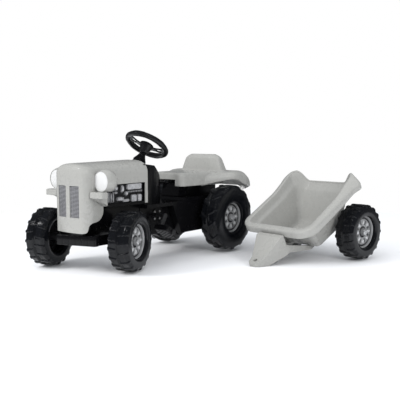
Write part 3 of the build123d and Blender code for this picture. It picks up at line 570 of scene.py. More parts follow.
def capPart(faceX):
    # a domed push-on cap with a rolled rim and a dimple
    domeRadius, depth = axleCap["radius"], axleCap["depth"]
    t = np.linspace(0, pi / 2, 12)
    dome = np.column_stack([faceX + depth * (0.45 + 0.55 * np.sin(t)), domeRadius * np.cos(t) ** 0.7])[:-1]
    start = np.array([[faceX + 0.0008, 0.0062], [faceX + 0.0008, domeRadius * 0.96],
                      [faceX + 0.0016, domeRadius]])
    end = np.array([[faceX + depth * 0.94, 0.0018], [faceX + depth * 0.90, 0.0006]])
    profile = np.concatenate([start, dome, end])
    return latheSurface(profile, 48, closedLoop=False)


axles = {
    "front": ("front_axle_set", kingpinSpot, frontTurn, smallTyre),
    "rear": ("rear_axle_set", rearAxle, 0.0, bigTyre),
    "trailer": ("drawbar_set", trailerAxle, trailerTurn, smallTyre),
}
wheels = {name: (name + "_wheel", pivot(name + "_spin"))
          for name in ("front_left", "front_right", "rear_right", "trailer_left", "trailer_right")}
# the left rear wheel is fixed on the axle, mirrored from the right one
wheels["rear_left"] = ("rear_axle_set", Vector((2 * rearAxle.x - wheels["rear_right"][1].x,
                                                rearAxle.y, rearAxle.z)))
for name in sorted(wheels):
    wheelBody, centre = wheels[name]
    axle, word = name.split("_")
    axleBody, middle, turn, size = axles[axle]
    place = turnedPlace(centre, turn) @ Matrix.Rotation(0 if word == "left" else pi, 4, "Z")
    tyrePiece = makeObject(name + "_tread", tyrePart(size), place, 50)
    dress(tyrePiece, wheelBody, "tyreBlack", name + "_tyre")
    rimSurface, rimShadeMask = rimPart(wheelRim, size["half"])
    rimPiece = makeObject(name + "_disc", rimSurface, place, 60)
    paintShadeMask(rimPiece, rimShadeMask)
    dress(rimPiece, wheelBody, "rimSilver", name + "_rim")
    capFace = size["half"] - wheelRim["recess"] + axleCap["proud"]
    capPiece = makeObject(name + "_dome", capPart(capFace), place, 60)
    dress(capPiece, axleBody, "capSilver", name + "_cap")
for name, (body, middle, turn, size) in axles.items():
    # plain rods with turned-down ends, stopping inside the caps
    centre = wheels[name + "_left"][1]
    reach = (Vector((centre.x, centre.y, 0)) - Vector((middle.x, middle.y, 0))).length
    reach += size["half"] - wheelRim["recess"] + 0.0160
    outline = [(-reach, 0.0045), (-reach + 0.002, 0.0060), (reach - 0.002, 0.0060), (reach, 0.0045)]
    rod = makeObject(name + "_rod", latheSurface(outline, 32, closedLoop=False),
                     turnedPlace(Vector((middle.x, middle.y, centre.z)), turn), 50)
    dress(rod, body, "steel", name + "_axle_rod")
print("wheels made")

# bonnet
bonnet = {"front": -0.715, "back": -0.402, "half": 0.090, "topFront": 0.3880, "topBack": 0.3950,
          "corner": 0.030, "spring": 0.345, "square": 2.6, "brow": 0.030, "wall": 0.0035, "bulge": 0.012}
engineWindow = {"front": -0.613, "back": -0.418, "low": 0.240, "high": 0.312}
grilleStrip = {"half": 0.0222, "middle": 0.0320, "low": 0.199, "high": 0.311}


def bonnetSolid(grow, low, back):
    # Rings of a rounded rectangle go straight up to the springing line, then draw in along a
    # superellipse to the crown. The front bulges as a parabola across the width.
    half, front, corner = bonnet["half"] - grow, bonnet["front"] + grow, bonnet["corner"] - grow
    spring, crown = bonnet["spring"], bonnet["topFront"] - grow
    turns = np.linspace(0, pi / 2, 26)[1:-1]
    narrow = np.cos(turns) ** (2 / bonnet["square"])
    lift = np.sin(turns) ** (2 / bonnet["square"])
    insets = np.concatenate([[0, 0, 0], 1 - narrow])
    heights = np.concatenate([[low, (low + spring) / 2, spring], spring + (crown - spring) * lift])
    points = np.stack([
        roundedRing(half * (1 - inset), front + bonnet["brow"] * inset, back, corner * (1 - inset * 0.6),
                    height, steps=10, sides=12)
        for inset, height in zip(insets, heights)])
    along = np.clip((points[..., 1] - front) / (bonnet["back"] - front), 0, 1)
    backRise = bonnet["topBack"] - bonnet["topFront"]
    points[..., 2] += smoothStep(points[..., 2], spring, crown) * along * backRise
    nearFront = 1 - smoothStep(points[..., 1], front, front + 0.12)
    points[..., 1] += nearFront * bonnet["bulge"] * (points[..., 0] / half) ** 2
    return closedForm(points)


bonnetPiece = makeObject("bonnet_shell", bonnetSolid(0, 0.100, bonnet["back"] + 0.05), tractorPlace)
hollow = makeObject("cutHollow", bonnetSolid(bonnet["wall"], 0.090, bonnet["back"] + 0.09), tractorPlace)
backCut = makeObject("cutBack", box((-0.2, bonnet["back"], 0.0), (0.2, -0.2, 0.6)), tractorPlace)
lowerEdge = [(-0.80, 0.1452), (-0.708, 0.1452), (-0.701, 0.1472), (-0.6965, 0.152), (-0.6945, 0.160),
             (-0.6925, 0.170), (-0.688, 0.177), (-0.681, 0.1815), (-0.672, 0.183), (-0.659, 0.185),
             (-0.649, 0.189), (-0.640, 0.197), (-0.633, 0.208), (-0.630, 0.222), (-0.630, 0.2365),
             (-0.38, 0.2330), (-0.38, 0.05), (-0.80, 0.05)]
underCut = makeObject("cutUnder", prism(lowerEdge, "x", -0.3, 0.3), tractorPlace)
window = engineWindow
engineCut = makeObject("cutEngine", prism(
    [(window["front"], 0.20), (window["back"] + 0.002, 0.20), (window["back"] + 0.002, window["high"]),
     (window["front"] + 0.004, window["high"] - 0.001), (window["front"], window["high"] - 0.006)],
    "x", -0.3, 0.3), tractorPlace)
grilleCuts = [
    makeObject("cutGrille", box(
        (side * grilleStrip["middle"] - grilleStrip["half"], -0.80, grilleStrip["low"]),
        (side * grilleStrip["middle"] + grilleStrip["half"], -0.69, grilleStrip["high"])), tractorPlace)
    for side in (1, -1)]
cutAway(bonnetPiece, [hollow, backCut, underCut, engineCut, *grilleCuts])
roundEdges(bonnetPiece, 0.0012, 2, 40)
dress(bonnetPiece, "tractor_body", "greyPlastic", "bonnet")


def bars(x, z):
    # narrow level bars with two finer uprights behind them
    level = np.cos(2 * pi * z / 0.0046)
    rise = 0.0016 * smoothStep(level, -0.55, 0.35)
    upright = np.cos(2 * pi * x / 0.0115)
    return np.maximum(rise, 0.0009 * smoothStep(upright, 0.80, 0.95))


grilleShells, grilleShadeMask = [], []
for side in (1, -1):
    panel, shadeMask = reliefPanel(2 * grilleStrip["half"] - 0.0004,
                              grilleStrip["high"] - grilleStrip["low"] - 0.0004, 0.0015, bars, 300, 64)
    spot = Vector((side * grilleStrip["middle"], bonnet["front"] + 0.0072,
                   (grilleStrip["low"] + grilleStrip["high"]) / 2))
    grilleShells.append(moved(panel, Matrix.Translation(spot) @ Matrix.Rotation(side * 0.088, 4, "Z")))
    grilleShadeMask.append(shadeMask)
grillePiece = makeObject("grille_bars", joinShells(grilleShells), tractorPlace, 40)
# the relief mask darkens the gaps between bars: painted shade
paintShadeMask(grillePiece, np.concatenate(grilleShadeMask))
dress(grillePiece, "tractor_body", "grilleGrey", "grille")


def bump(x, z, centreX, centreZ, halfX, halfZ, rise, squareness=2.0, edge=0.25):
    # a raised block or dome: squareness 2 is an oval, larger is squarer
    sideways, upward = np.abs((x - centreX) / halfX), np.abs((z - centreZ) / halfZ)
    distance = (sideways ** squareness + upward ** squareness) ** (1 / squareness)
    return rise * (1 - smoothStep(distance, 1 - edge, 1.0))


# centre across and up, half width and height, rise, then squareness and edge where they differ
engineBlocks = [
    (-0.082, -0.010, 0.0040, 0.024, 0.0055), (-0.071, -0.012, 0.0040, 0.022, 0.0060),
    (-0.060, -0.011, 0.0040, 0.023, 0.0055), (-0.071, 0.014, 0.016, 0.0045, 0.0060),
    (-0.046, 0.020, 0.017, 0.014, 0.0080, 2.0, 0.8), (-0.046, 0.004, 0.010, 0.0050, 0.0050),
    (-0.014, 0.017, 0.0085, 0.018, 0.0090, 3.0, 0.6), (0.006, -0.002, 0.0115, 0.0115, 0.0085, 2.0, 0.7),
    (0.006, -0.002, 0.0050, 0.0050, 0.0098, 2.0, 0.4),
    (0.046, 0.0225, 0.040, 0.0115, 0.0090, 8.0, 0.12),
    (0.052, 0.0225, 0.0030, 0.0030, 0.0102, 2.0, 0.4),
    (-0.026, -0.020, 0.020, 0.0100, 0.0075, 2.4, 0.5),
    (-0.026, -0.020, 0.0075, 0.0075, 0.0092, 2.0, 0.4),
    (0.004, -0.027, 0.020, 0.0065, 0.0070, 4.0, 0.3), (0.044, -0.021, 0.0150, 0.0150, 0.0080, 6.0, 0.2),
    (0.073, -0.021, 0.0110, 0.0150, 0.0086, 6.0, 0.2),
    (0.044, -0.021, 0.0060, 0.0110, 0.0094, 3.0, 0.4),
]
engineBlocks += [(0.014 + 0.0088 * index, 0.0045, 0.0026, 0.0045, 0.0066, 4.0, 0.3) for index in range(9)]
engineBlocks += [(-0.040 + 0.0070 * index, -0.020, 0.0016, 0.0085, 0.0084, 3.0, 0.4) for index in range(5)]


def engineRelief(x, z):
    # Seen from the tractor's left with the front at -x: manifold pipes, a domed filter, an upright
    # canister, the valve cover with its fins, a pump and the clutch housing, over a deep background.
    return np.maximum.reduce([np.zeros_like(x)] + [bump(x, z, *block) for block in engineBlocks])


for side, word in ((1, "left"), (-1, "right")):
    width = window["back"] - window["front"] + 0.004
    height = window["high"] - window["low"] + 0.004
    panel, shadeMask = reliefPanel(width, height, 0.003, engineRelief, 120, 300)
    spot = Vector((side * (bonnet["half"] - bonnet["wall"] - 0.0105), (window["front"] + window["back"]) / 2,
                   (window["low"] + window["high"]) / 2))
    facing = Matrix.Rotation(pi / 2, 4, "Z")
    if side < 0:
        facing = Matrix.Diagonal((-1, 1, 1, 1)) @ facing
    enginePiece = makeObject("engine_relief_" + word, moved(panel, Matrix.Translation(spot) @ facing),
                             tractorPlace, 45)
    # the relief mask darkens the low background: painted shade
    paintShadeMask(enginePiece, shadeMask)
    dress(enginePiece, "tractor_body", "engineSilver", "engine_" + word)

surroundShells = []
for side in (1, -1):
    # a thin black frame lining each engine window
    low, high = window["low"] - 0.010, window["high"] + 0.0035
    front, back = window["front"] - 0.0035, window["back"] + 0.005
    inner, outer = side * (bonnet["half"] - 0.018), side * (bonnet["half"] - 0.0035)
    x1, x2 = sorted((inner, outer))
    surroundShells += [
        box((x1, front, low), (x2, back, low + 0.0115)),
        box((x1, front, high - 0.0032), (x2, back, high)),
        box((x1, front, low), (x2, front + 0.0032, high)),
        box((x1, back - 0.0032, low), (x2, back, high)),
    ]
surround = makeObject("engine_surround", joinShells(surroundShells), tractorPlace)
roundEdges(surround, 0.0008, 2)
dress(surround, "tractor_body", "blackPlastic")
print("bonnet, grille and engine made")

# headlamps
lamp = {"radius": 0.042, "x": 0.120, "y": -0.646, "z": 0.328, "lensRadius": 0.0345, "face": 0.0215}


def lampProfile():
    # the back of a sphere, then a rolled bezel round the lens recess; along runs to the front
    start = np.arccos(0.985)
    turn = np.linspace(start, pi - np.arccos(lamp["face"] / lamp["radius"]), 30)
    ball = np.column_stack([-lamp["radius"] * np.cos(turn), lamp["radius"] * np.sin(turn)])
    edge = ball[-1]
    roll = np.linspace(0, pi, 8)[1:]
    bezelMiddle, bezelHalf = (edge[1] + lamp["lensRadius"]) / 2, (edge[1] - lamp["lensRadius"]) / 2
    bezel = np.column_stack([edge[0] + 0.0012 * np.sin(roll), bezelMiddle + bezelHalf * np.cos(roll)])
    floor = np.array([[edge[0] - 0.003, lamp["lensRadius"]], [edge[0] - 0.003, 0.004]])
    return np.concatenate([ball, bezel, floor])


for side, word in ((1, "left"), (-1, "right")):
    spot = tractorPlace @ Matrix.Translation(Vector((side * lamp["x"], lamp["y"], lamp["z"])))
    facing = Matrix.Rotation(pi, 4, "Z")
    housing = makeObject("lamp_ball_" + word, latheSurface(lampProfile(), 72, "y", closedLoop=False),
                         spot @ facing, 50)
    trim = makeObject("cutTrim", box((-0.2, -0.2, -0.2), (0.2, 0.2, -0.0345)), spot)
    inward = box((-0.2, -0.2, -0.2), (-0.0310, 0.2, 0.2))
    if side < 0:
        inward = box((0.0310, -0.2, -0.2), (0.2, 0.2, 0.2))
    cutAway(housing, [trim, makeObject("cutInward", inward, spot)])
    dress(housing, "tractor_body", "greyPlastic", "lamp_housing_" + word)
    t = np.linspace(0, 1, 14)
    dome = np.column_stack([lamp["face"] - 0.0010 + 0.0022 * (1 - t ** 2),
                            lamp["lensRadius"] * t - 0.0004 * t + 0.0004])
    base = np.array([[lamp["face"] - 0.0028, lamp["lensRadius"] - 0.0004], [lamp["face"] - 0.0028, 0.0004]])
    lensSurface = latheSurface(np.concatenate([dome, base]), 72, "y", closedLoop=False)
    lens = makeObject("lamp_glass_" + word, lensSurface, spot @ facing, 50)
    cutAway(lens, [makeObject("cutInward", inward, spot)])
    dress(lens, "tractor_body", "lensWhite", "lamp_lens_" + word)

    # the shelf that the lamp stands on, and the web tapering back under it
    shelfRings = []
    for z, half, front, back in ((0.2700, 0.0305, -0.6915, -0.6630), (0.2712, 0.0320, -0.6930, -0.6615),
                                 (0.2890, 0.0320, -0.6930, -0.6615), (0.2918, 0.0300, -0.6905, -0.6635)):
        ring = roundedRing(half, front, back, 0.006, z)
        ring[:, 0] = side * (ring[:, 0] + lamp["x"])
        shelfRings.append(ring)
    shelf = makeObject("lamp_shelf_" + word, closedForm(shelfRings),
                       tractorPlace, 35)
    dress(shelf, "tractor_body", "greyPlastic", "lamp_bracket_" + word)
    web = prism([(-0.688, 0.2715), (-0.634, 0.2715), (-0.634, 0.2400)], "x", side * 0.088, side * 0.118)
    webPiece = makeObject("lamp_web_" + word, web, tractorPlace, 35)
    roundEdges(webPiece, 0.002, 2)
    dress(webPiece, "tractor_body", "greyPlastic")
print("headlamps made")

# steering wheel, boot and column
steering = {"radius": 0.0911, "grip": 0.0112, "hub": 0.029}


def steeringWheelShells():
    shells = []
    # the grip: a ring of slightly flattened section, with a fine knurl along six of its stretches
    around = np.linspace(0, 2 * pi, 240, endpoint=False)[:, None]
    section = np.linspace(0, 2 * pi, 28, endpoint=False)[None, :]
    middle = steering["radius"] - steering["grip"]
    patch = smoothStep(np.cos(6 * around), -0.35, -0.15)
    knurl = 0.0006 * patch * np.cos(120 * around) * (np.cos(section) > -0.7)
    radius = steering["grip"] * (0.95 + 0.035 * patch) + knurl
    reach = middle + radius * np.cos(section)
    ringPoints = np.stack([reach * np.cos(around), reach * np.sin(around),
                           radius * 1.02 * np.sin(section) + 0 * around], -1)
    shells.append(shell(ringPoints, loopRows=True, loopColumns=True))
    # hub bowl
    hub = steering["hub"]
    hubProfile = [(-0.042, 0.009), (-0.042, 0.0140), (-0.034, 0.0165), (-0.020, 0.0215), (-0.008, hub * 0.93),
                  (-0.003, hub), (0.000, hub - 0.0006), (0.002, hub - 0.004), (0.002, 0.006)]
    shells.append(latheSurface(hubProfile, 48, "z", closedLoop=False))
    return shells


def spokePart(angle):
    # a flat bar from hub to grip, narrow at the waist, dished towards the hub
    t = np.linspace(0, 1, 14)
    along = 0.012 + t * (steering["radius"] - 2 * steering["grip"] + 0.004 - 0.012)
    halfWidth = 0.0135 + 0.0050 * (2 * t - 0.9) ** 2 + 0.0060 * smoothStep(t, 0.45, 0.9)
    height = -0.008 + 0.007 * smoothStep(t, 0.1, 0.9)
    loop = np.linspace(0, 2 * pi, 20, endpoint=False)
    across = np.sign(np.cos(loop)) * np.abs(np.cos(loop)) ** 0.6
    up = np.sign(np.sin(loop)) * np.abs(np.sin(loop)) ** 0.6
    points = np.stack([along[:, None] + 0 * across, halfWidth[:, None] * across,
                       height[:, None] + 0.0034 * up], -1)
    return moved(closedForm(points), Matrix.Rotation(angle, 4, "Z"))


spokes = [makeObject("spoke", spokePart(radians(clock)), columnPlace) for clock in (0, 180, 90)]
for spoke, clock in zip(spokes[:2], (0, 180)):
    t = np.linspace(0, 2 * pi, 24, endpoint=False)
    oval = np.column_stack([0.0540 + 0.0130 * np.cos(t), 0.0098 * np.sin(t)])
    cutter = moved(prism(oval, "z", -0.03, 0.03), Matrix.Rotation(radians(clock), 4, "Z"))
    cutAway(spoke, [makeObject("cutOval", cutter, columnPlace)])
    roundEdges(spoke, 0.0008, 2)
    applied(spoke)
wheelPiece = makeObject("steering_wheel_moulding", joinShells(steeringWheelShells()), columnPlace, 50)
joined = bmesh.new()
joined.from_mesh(wheelPiece.data)
for spoke in spokes:
    joined.from_mesh(spoke.data)
    bpy.data.objects.remove(spoke)
joined.to_mesh(wheelPiece.data)
joined.free()
smoothEdges(wheelPiece.data, 50)
dress(wheelPiece, "steering_set", "gripBlack", "steering_wheel")

t = np.linspace(0, pi / 2, 10)
buttonDome = np.column_stack([0.0030 + 0.0040 * np.sin(t), 0.0188 * np.cos(t) ** 0.6])[:-1]
buttonProfile = np.concatenate([[[0.0024, 0.002], [0.0024, 0.0188]], buttonDome])
hubButton = makeObject("steering_hub_button", latheSurface(
    np.concatenate([buttonProfile, [[0.0070, 0.0006]]]), 48, "z", closedLoop=False), columnPlace, 50)
dress(hubButton, "steering_set", "blackPlastic", "steering_hub_cap")

rings = np.linspace(0, 1, 49)
bootLength = 0.031
bootRadius = 0.0122 + 0.0135 * rings ** 1.3 + 0.0007 * np.cos(2 * pi * 6 * rings)
bootOuter = np.column_stack([-0.044 - bootLength * rings, bootRadius])
bootInner = np.array([[-0.0755, 0.0220], [-0.0700, 0.0218], [-0.0560, 0.0088], [-0.0440, 0.0088]])
boot = makeObject("column_gaiter", latheSurface(np.concatenate([bootOuter, bootInner]), 48, "z"),
                  straightColumnPlace, 50)
dress(boot, "tractor_body", "blackPlastic", "column_boot")
print("steering made")

# dashboard
softened("dashboard", "tractor_body", "blackPlastic", 0.009, 4)
softened("hand_lever", "tractor_body", "blackPlastic", 0.0008)

# chassis, pillar, latch, hitch
softened("chassis", "tractor_body", "blackPlastic", 0.0022, 3)
pillarPiece = mergedCopy("seat_pillar", "seat_pillar_moulded")
cutAway(pillarPiece, [makeObject("cutTop", box((-0.2, -0.3, 0.3080), (0.2, 0.1, 0.4)), tractorPlace)])
roundEdges(pillarPiece, 0.004, 3)
dress(pillarPiece, "tractor_body", "blackPlastic", "seat_pillar")
softened("seat_latch", "tractor_body", "blackPlastic", 0.0015)
softened("tow_hitch", "tractor_body", "blackPlastic", 0.0012)

# front axle yoke: its ribbed nose over the swivel
yokeNose = {"half": 0.0838, "front": -0.095, "back": -0.063, "low": 0.100, "high": 0.137}


def yokeNosePart():
    # a round-ended bar with shallow upright flutes along its front and ends
    rings = []
    for z, inset in ((yokeNose["low"], 0.003), (yokeNose["low"] + 0.001, 0.001), (yokeNose["low"] + 0.003, 0),
                     (yokeNose["high"] - 0.004, 0), (yokeNose["high"] - 0.0012, 0.0012),
                     (yokeNose["high"], 0.004)):
        rings.append(roundedRing(yokeNose["half"] - inset, yokeNose["front"] + inset,
                                 yokeNose["back"] - inset, 0.0155 - inset, z, steps=26, sides=60))
    points = np.stack(rings)
    forward = np.clip(1 - (points[..., 1] - yokeNose["front"]) / 0.026, 0, 1)
    groove = smoothStep(np.abs(np.sin(points[..., 0] / 0.0125 * pi)), 0.0, 0.24)
    flat = (np.arange(len(rings))[:, None] > 0) & (np.arange(len(rings))[:, None] < len(rings) - 1)
    points[..., 1] += 0.0016 * (1 - groove) * forward * flat
    return closedForm(points)


nosePiece = makeObject("yoke_nose", yokeNosePart(), frontPlace, 50)
dress(nosePiece, "front_axle_set", "blackPlastic")
yokePiece = mergedCopy("front_yoke", "front_yoke_moulded")
cutAway(yokePiece, [makeObject("cutNose", box((-0.2, -0.2, 0.05), (0.2, -0.066, 0.2)), frontPlace)])
roundEdges(yokePiece, 0.0015, 2)
dress(yokePiece, "front_axle_set", "blackPlastic", "front_yoke")
print("chassis and axle made")

# pedals: grooved blocks on the crank pins
pedal = {"length": 0.080, "thick": 0.024, "width": 0.066, "corner": 0.007, "groove": 0.0016, "pitch": 0.0135}


def pedalPart(side):
    # A rounded slab carried across its width, with slanting grooves cut in both treads.
    ring = roundedRing(pedal["length"] / 2, -pedal["thick"] / 2, pedal["thick"] / 2, pedal["corner"], 0,
                       steps=8, sides=44)
    across = np.concatenate([[0, 0.0012], np.linspace(0.0035, pedal["width"] - 0.0035, 40),
                             [pedal["width"] - 0.0012, pedal["width"]]])
    inset = np.concatenate([[0.0025, 0.0008], np.zeros(40), [0.0008, 0.0025]])[:, None]
    y = ring[:, 0][None, :] * (1 - inset / 0.04)
    z = ring[:, 1][None, :] * (1 - inset / 0.012)
    x = across[:, None] + 0 * y
    wave = np.cos(2 * pi * (y + 0.7 * x) / pedal["pitch"])
    tread = (np.abs(z) > pedal["thick"] / 2 - 0.0006) * (inset == 0)
    z = z - np.sign(z) * pedal["groove"] * smoothStep(wave, 0.35, 0.75) * tread
    return shell(np.stack([side * x, y, z], -1), loopColumns=True, capRows=True)


for side, word in ((1, "left"), (-1, "right")):
    low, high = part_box("pedal_" + word)
    pin = pivot(word + "_pedal_spin")
    inner = min(abs(low[0] - rearAxle.x), abs(high[0] - rearAxle.x))
    spot = Vector((rearAxle.x + side * inner, pin.y, pin.z))
    hang = Matrix.Translation(spot) @ Matrix.Rotation(-radians(34), 4, "X")
    pedalPiece = makeObject("pedal_block_" + word, pedalPart(side), hang, 45)
    dress(pedalPiece, word + "_pedal", "blackPlastic", "pedal_" + word)
softened("crank", "crank_set", "darkSteel", 0.0012)
print("pedals made")

# seat with fenders: moulded as one soft-edged shell
seat = {"nose": -0.196, "low": 0.280, "top": 0.3375, "backTop": 0.4095, "backBase": 0.300,
        "crest": 0.3395, "fenderThick": 0.0055, "voxel": 0.0021}


def seatPlan(grow, z, corner):
    # the seat's outline from above, widening from the nose towards the fenders
    ring = roundedRing(0.089 + grow, seat["nose"] - grow * 0.6, 0.085 + grow, corner, z, steps=12, sides=14)
    ring[:, 0] *= 0.95 + 0.17 * smoothStep(ring[:, 1], -0.14, 0.03)
    return ring


def seatShells():
    top = seat["top"]
    # skirted seat box
    levels = ((seat["low"], 0.003), (0.292, 0.001), (0.318, -0.001), (top - 0.007, -0.004),
              (top - 0.002, -0.010), (top - 0.0002, -0.017))
    rings = [seatPlan(grow, z, 0.024) for z, grow in levels]
    shells = [closedForm(rings)]
    # backrest, leaning back a little, its front bulging between two soft folds
    rings = []
    for t in np.linspace(0, 1, 14):
        z = seat["backBase"] + t * (seat["backTop"] - seat["backBase"])
        half = 0.128 - 0.040 * t - 0.010 * smoothStep(t, 0.80, 1.0) - 0.012 * smoothStep(t, 0.92, 1.0)
        lean = 0.010 * t
        thin = 0.030 - 0.014 * t
        inset = 0.007 * smoothStep(t, 0.86, 1.0)
        face = 0.030 + lean
        ring = roundedRing(half, face + inset, face + 2 * thin - inset, 0.014, z, steps=8, sides=16)
        fold = 0.010 * (1 - smoothStep(np.abs(ring[:, 0]), half * 0.55, half * 0.98))
        ring[:, 1] -= fold * (ring[:, 1] < 0.030 + lean + thin)
        rings.append(ring)
    shells.append(closedForm(rings))
    return shells


def fenderPart():
    # A wing over both wheels. Seen from the side it is an arch from the seat's skirt to the rear
    # tip; from above its leading edges slant and its rear corners are round; its outer edges roll
    # down. Two such skins, one above the other, close into a shell.
    v = np.linspace(0, 1, 90)[:, None]
    u = np.linspace(-1, 1, 120)[None, :]
    y = -0.088 + v * 0.286
    crest = seat["crest"] - 0.047 * np.clip((0.072 - y) / 0.165, 0, 1) ** 1.8
    crest = crest - 0.072 * np.clip((y - 0.082) / 0.118, 0, 1) ** 2.0
    reach = np.interp(y, [-0.088, -0.050, -0.010, 0.020, 0.035, 0.060, 0.114, 0.150, 0.175, 0.190, 0.198],
                      [0.060, 0.100, 0.150, 0.186, 0.195, 0.199, 0.1992, 0.190, 0.168, 0.140, 0.108])
    roll = np.clip((np.abs(u) - 0.80) / 0.20, 0, 1)
    fall = 0.028 + 0.028 * smoothStep(y, 0.020, 0.100) - 0.030 * smoothStep(y, 0.120, 0.190)
    top = crest - fall * (1 - np.sqrt(np.clip(1 - roll ** 2.4, 0, 1)))
    thick = seat["fenderThick"]
    x = reach * u
    upper = np.stack([x, y + 0 * x, top], -1)
    lower = np.stack([x * (1 - thick * 0.9 / reach), y + 0 * x, top - thick], -1)
    return twoSkins(upper, lower)


seatPiece = makeObject("seat_moulding", joinShells([*seatShells(), fenderPart()]), tractorPlace, 60)
hollowRings = [seatPlan(grow, z, 0.028) for z, grow in ((0.24, -0.004), (0.306, -0.010), (0.3160, -0.016))]
seatNotch = box((-0.0496, -0.25, 0.20), (0.0496, -0.1505, 0.3085))
remesh = seatPiece.modifiers.new("one skin", "REMESH")
remesh.mode = "VOXEL"
remesh.voxel_size = seat["voxel"]
soften = seatPiece.modifiers.new("soft corners", "SMOOTH")
soften.factor = 0.5
soften.iterations = 9
applied(seatPiece, 60)
cutAway(seatPiece, [
    makeObject("cutSeat", closedForm(hollowRings), tractorPlace),
    makeObject("cutNotch", seatNotch, tractorPlace)])
smoothEdges(seatPiece.data, 50)
dress(seatPiece, "tractor_body", "greyPlastic", "seat")
print("seat made")

# trailer tub: one closed surface from the middle of its floor over the lip to its belly
tub = {"floor": 0.135, "rim": 0.274, "front": -0.252, "back": 0.100, "half": 0.151, "wall": 0.0035,
       "lipOut": 0.024, "lipDrop": 0.030, "lipRound": 0.009, "ledge": 0.0075, "earRise": 0.042,
       "corner": 0.040, "floorHalf": 0.104, "floorFront": -0.163, "floorBack": -0.013}


def tubRing(level, grow, z, corner):
    # level 0 is the floor's outline and 1 the rim's; grow moves the ring outwards
    halfWidth = tub["floorHalf"] + (tub["half"] - tub["floorHalf"]) * level
    front = tub["floorFront"] + (tub["front"] - tub["floorFront"]) * level
    back = tub["floorBack"] + (tub["back"] - tub["floorBack"]) * level
    return roundedRing(halfWidth + grow, front - grow, back + grow * 0.35, corner + grow, z,
                       steps=14, sides=26)


def floorRows(grow, z, shares):
    # the floor's outline drawn in towards its middle by each share
    ring = tubRing(0, grow, z, 0.02)
    middle = ring.mean(0)
    return [ring * (share, share, 1) + middle * (1 - share, 1 - share, 0) for share in shares]


def ledgeGrow(level):
    # the step that runs round the wall below the rim
    return tub["ledge"] * smoothStep(level, 0.78, 0.83) - tub["ledge"] * level


def tubPart():
    wall, rimZ, corner = tub["wall"], tub["rim"], tub["corner"]
    lipTop, lipOut, lipDrop, lipRound = rimZ + wall, tub["lipOut"], tub["lipDrop"], tub["lipRound"]
    shares = (0.08, 0.5, 0.88, 0.96)
    rows = floorRows(-0.004, tub["floor"] + wall, shares)
    for level in np.linspace(0, 1, 26)[1:]:
        z = tub["floor"] + wall + (rimZ - tub["floor"] - wall) * level
        rows.append(tubRing(level, ledgeGrow(level) - wall, z, 0.018 + 0.022 * level))
    lipTurns = np.linspace(0, pi / 2, 7)
    for turn in lipTurns:
        rows.append(tubRing(1, 0.0045 * (1 - cos(turn)) - 0.0035 + 0.001, rimZ + wall * sin(turn), corner))
    for out in np.linspace(0.004, lipOut - lipRound, 5)[1:]:
        rows.append(tubRing(1, out, lipTop, corner))
    for turn in lipTurns[1:]:
        rows.append(tubRing(1, lipOut - lipRound + lipRound * sin(turn),
                            lipTop - lipRound * (1 - cos(turn)), corner))
    for drop in np.linspace(lipRound, lipDrop, 6)[1:]:
        rows.append(tubRing(1, lipOut, lipTop - drop, corner))
    rows.append(tubRing(1, lipOut - 0.0012, rimZ + 0.0025 - lipDrop, corner))
    rows.append(tubRing(1, lipOut - wall, lipTop - lipDrop, corner))
    for drop in np.linspace(lipDrop, 0.0075, 5)[1:]:
        rows.append(tubRing(1, lipOut - wall, lipTop - drop, corner))
    rows.append(tubRing(1, wall, rimZ - 0.0040, corner))
    for level in np.linspace(0.97, 0, 24):
        z = tub["floor"] + (rimZ - tub["floor"]) * level
        rows.append(tubRing(level, ledgeGrow(level) + 0.0002, z, 0.018 + 0.022 * level))
    rows += floorRows(0, tub["floor"], shares[::-1])
    points = np.stack(rows)
    # the ears: the rim rises along the sides to the rear corners and dips between them
    x, y, z = points[..., 0], points[..., 1], points[..., 2]
    high = smoothStep(z, 0.205, 0.262)
    rearward = 0.5 * np.clip((y + 0.21) / 0.298, 0, 1) + 0.5 * smoothStep(y, -0.060, 0.088)
    outward = smoothStep(np.abs(x), 0.088, 0.140)
    ear = high * rearward * outward
    past = smoothStep(np.abs(x), tub["half"] + 0.004, tub["half"] + tub["lipOut"])
    lift = tub["earRise"] * ear * (1 - (0.45 + 0.30 * smoothStep(y, 0.020, 0.100)) * past)
    points[..., 2] = z + lift
    tip = ear * smoothStep(y, 0.020, 0.100)
    points[..., 0] = x + np.sign(x) * (0.012 * ear + 0.026 * tip) * past
    points[..., 2] += ear * past * 0.80 * np.clip(rimZ - z, 0, 1)
    sill = smoothStep(y, 0.070, 0.100) * (1 - smoothStep(np.abs(x), 0.080, 0.120)) * high
    points[..., 2] -= 0.008 * sill
    return closedForm(points)


tubPiece = makeObject("trailer_tub_moulding", tubPart(), tiltPlace, 40)
dress(tubPiece, "tub_set", "greyPlastic", "trailer_tub")
softened("drawbar", "drawbar_set", "greyPlastic", 0.004, 3)
print("trailer made")

# what stays as it is in the frame
kept = {
    "darkSteel": ["kingpin", "chainring", "rear_sprocket", "drive_chain", "steering_column", "pedal_caps"],
    "steel": ["bearing_bolts", "tow_pin"],
    "blackPlastic": ["column_bushes", "crank_bushes", "rear_axle_bushes", "thrust_washer"],
}
for finish, nodes in kept.items():
    for node in nodes:
        mesh = frame["nodes"][node].data
        mesh.materials.clear()
        mesh.materials.append(finishes[finish])

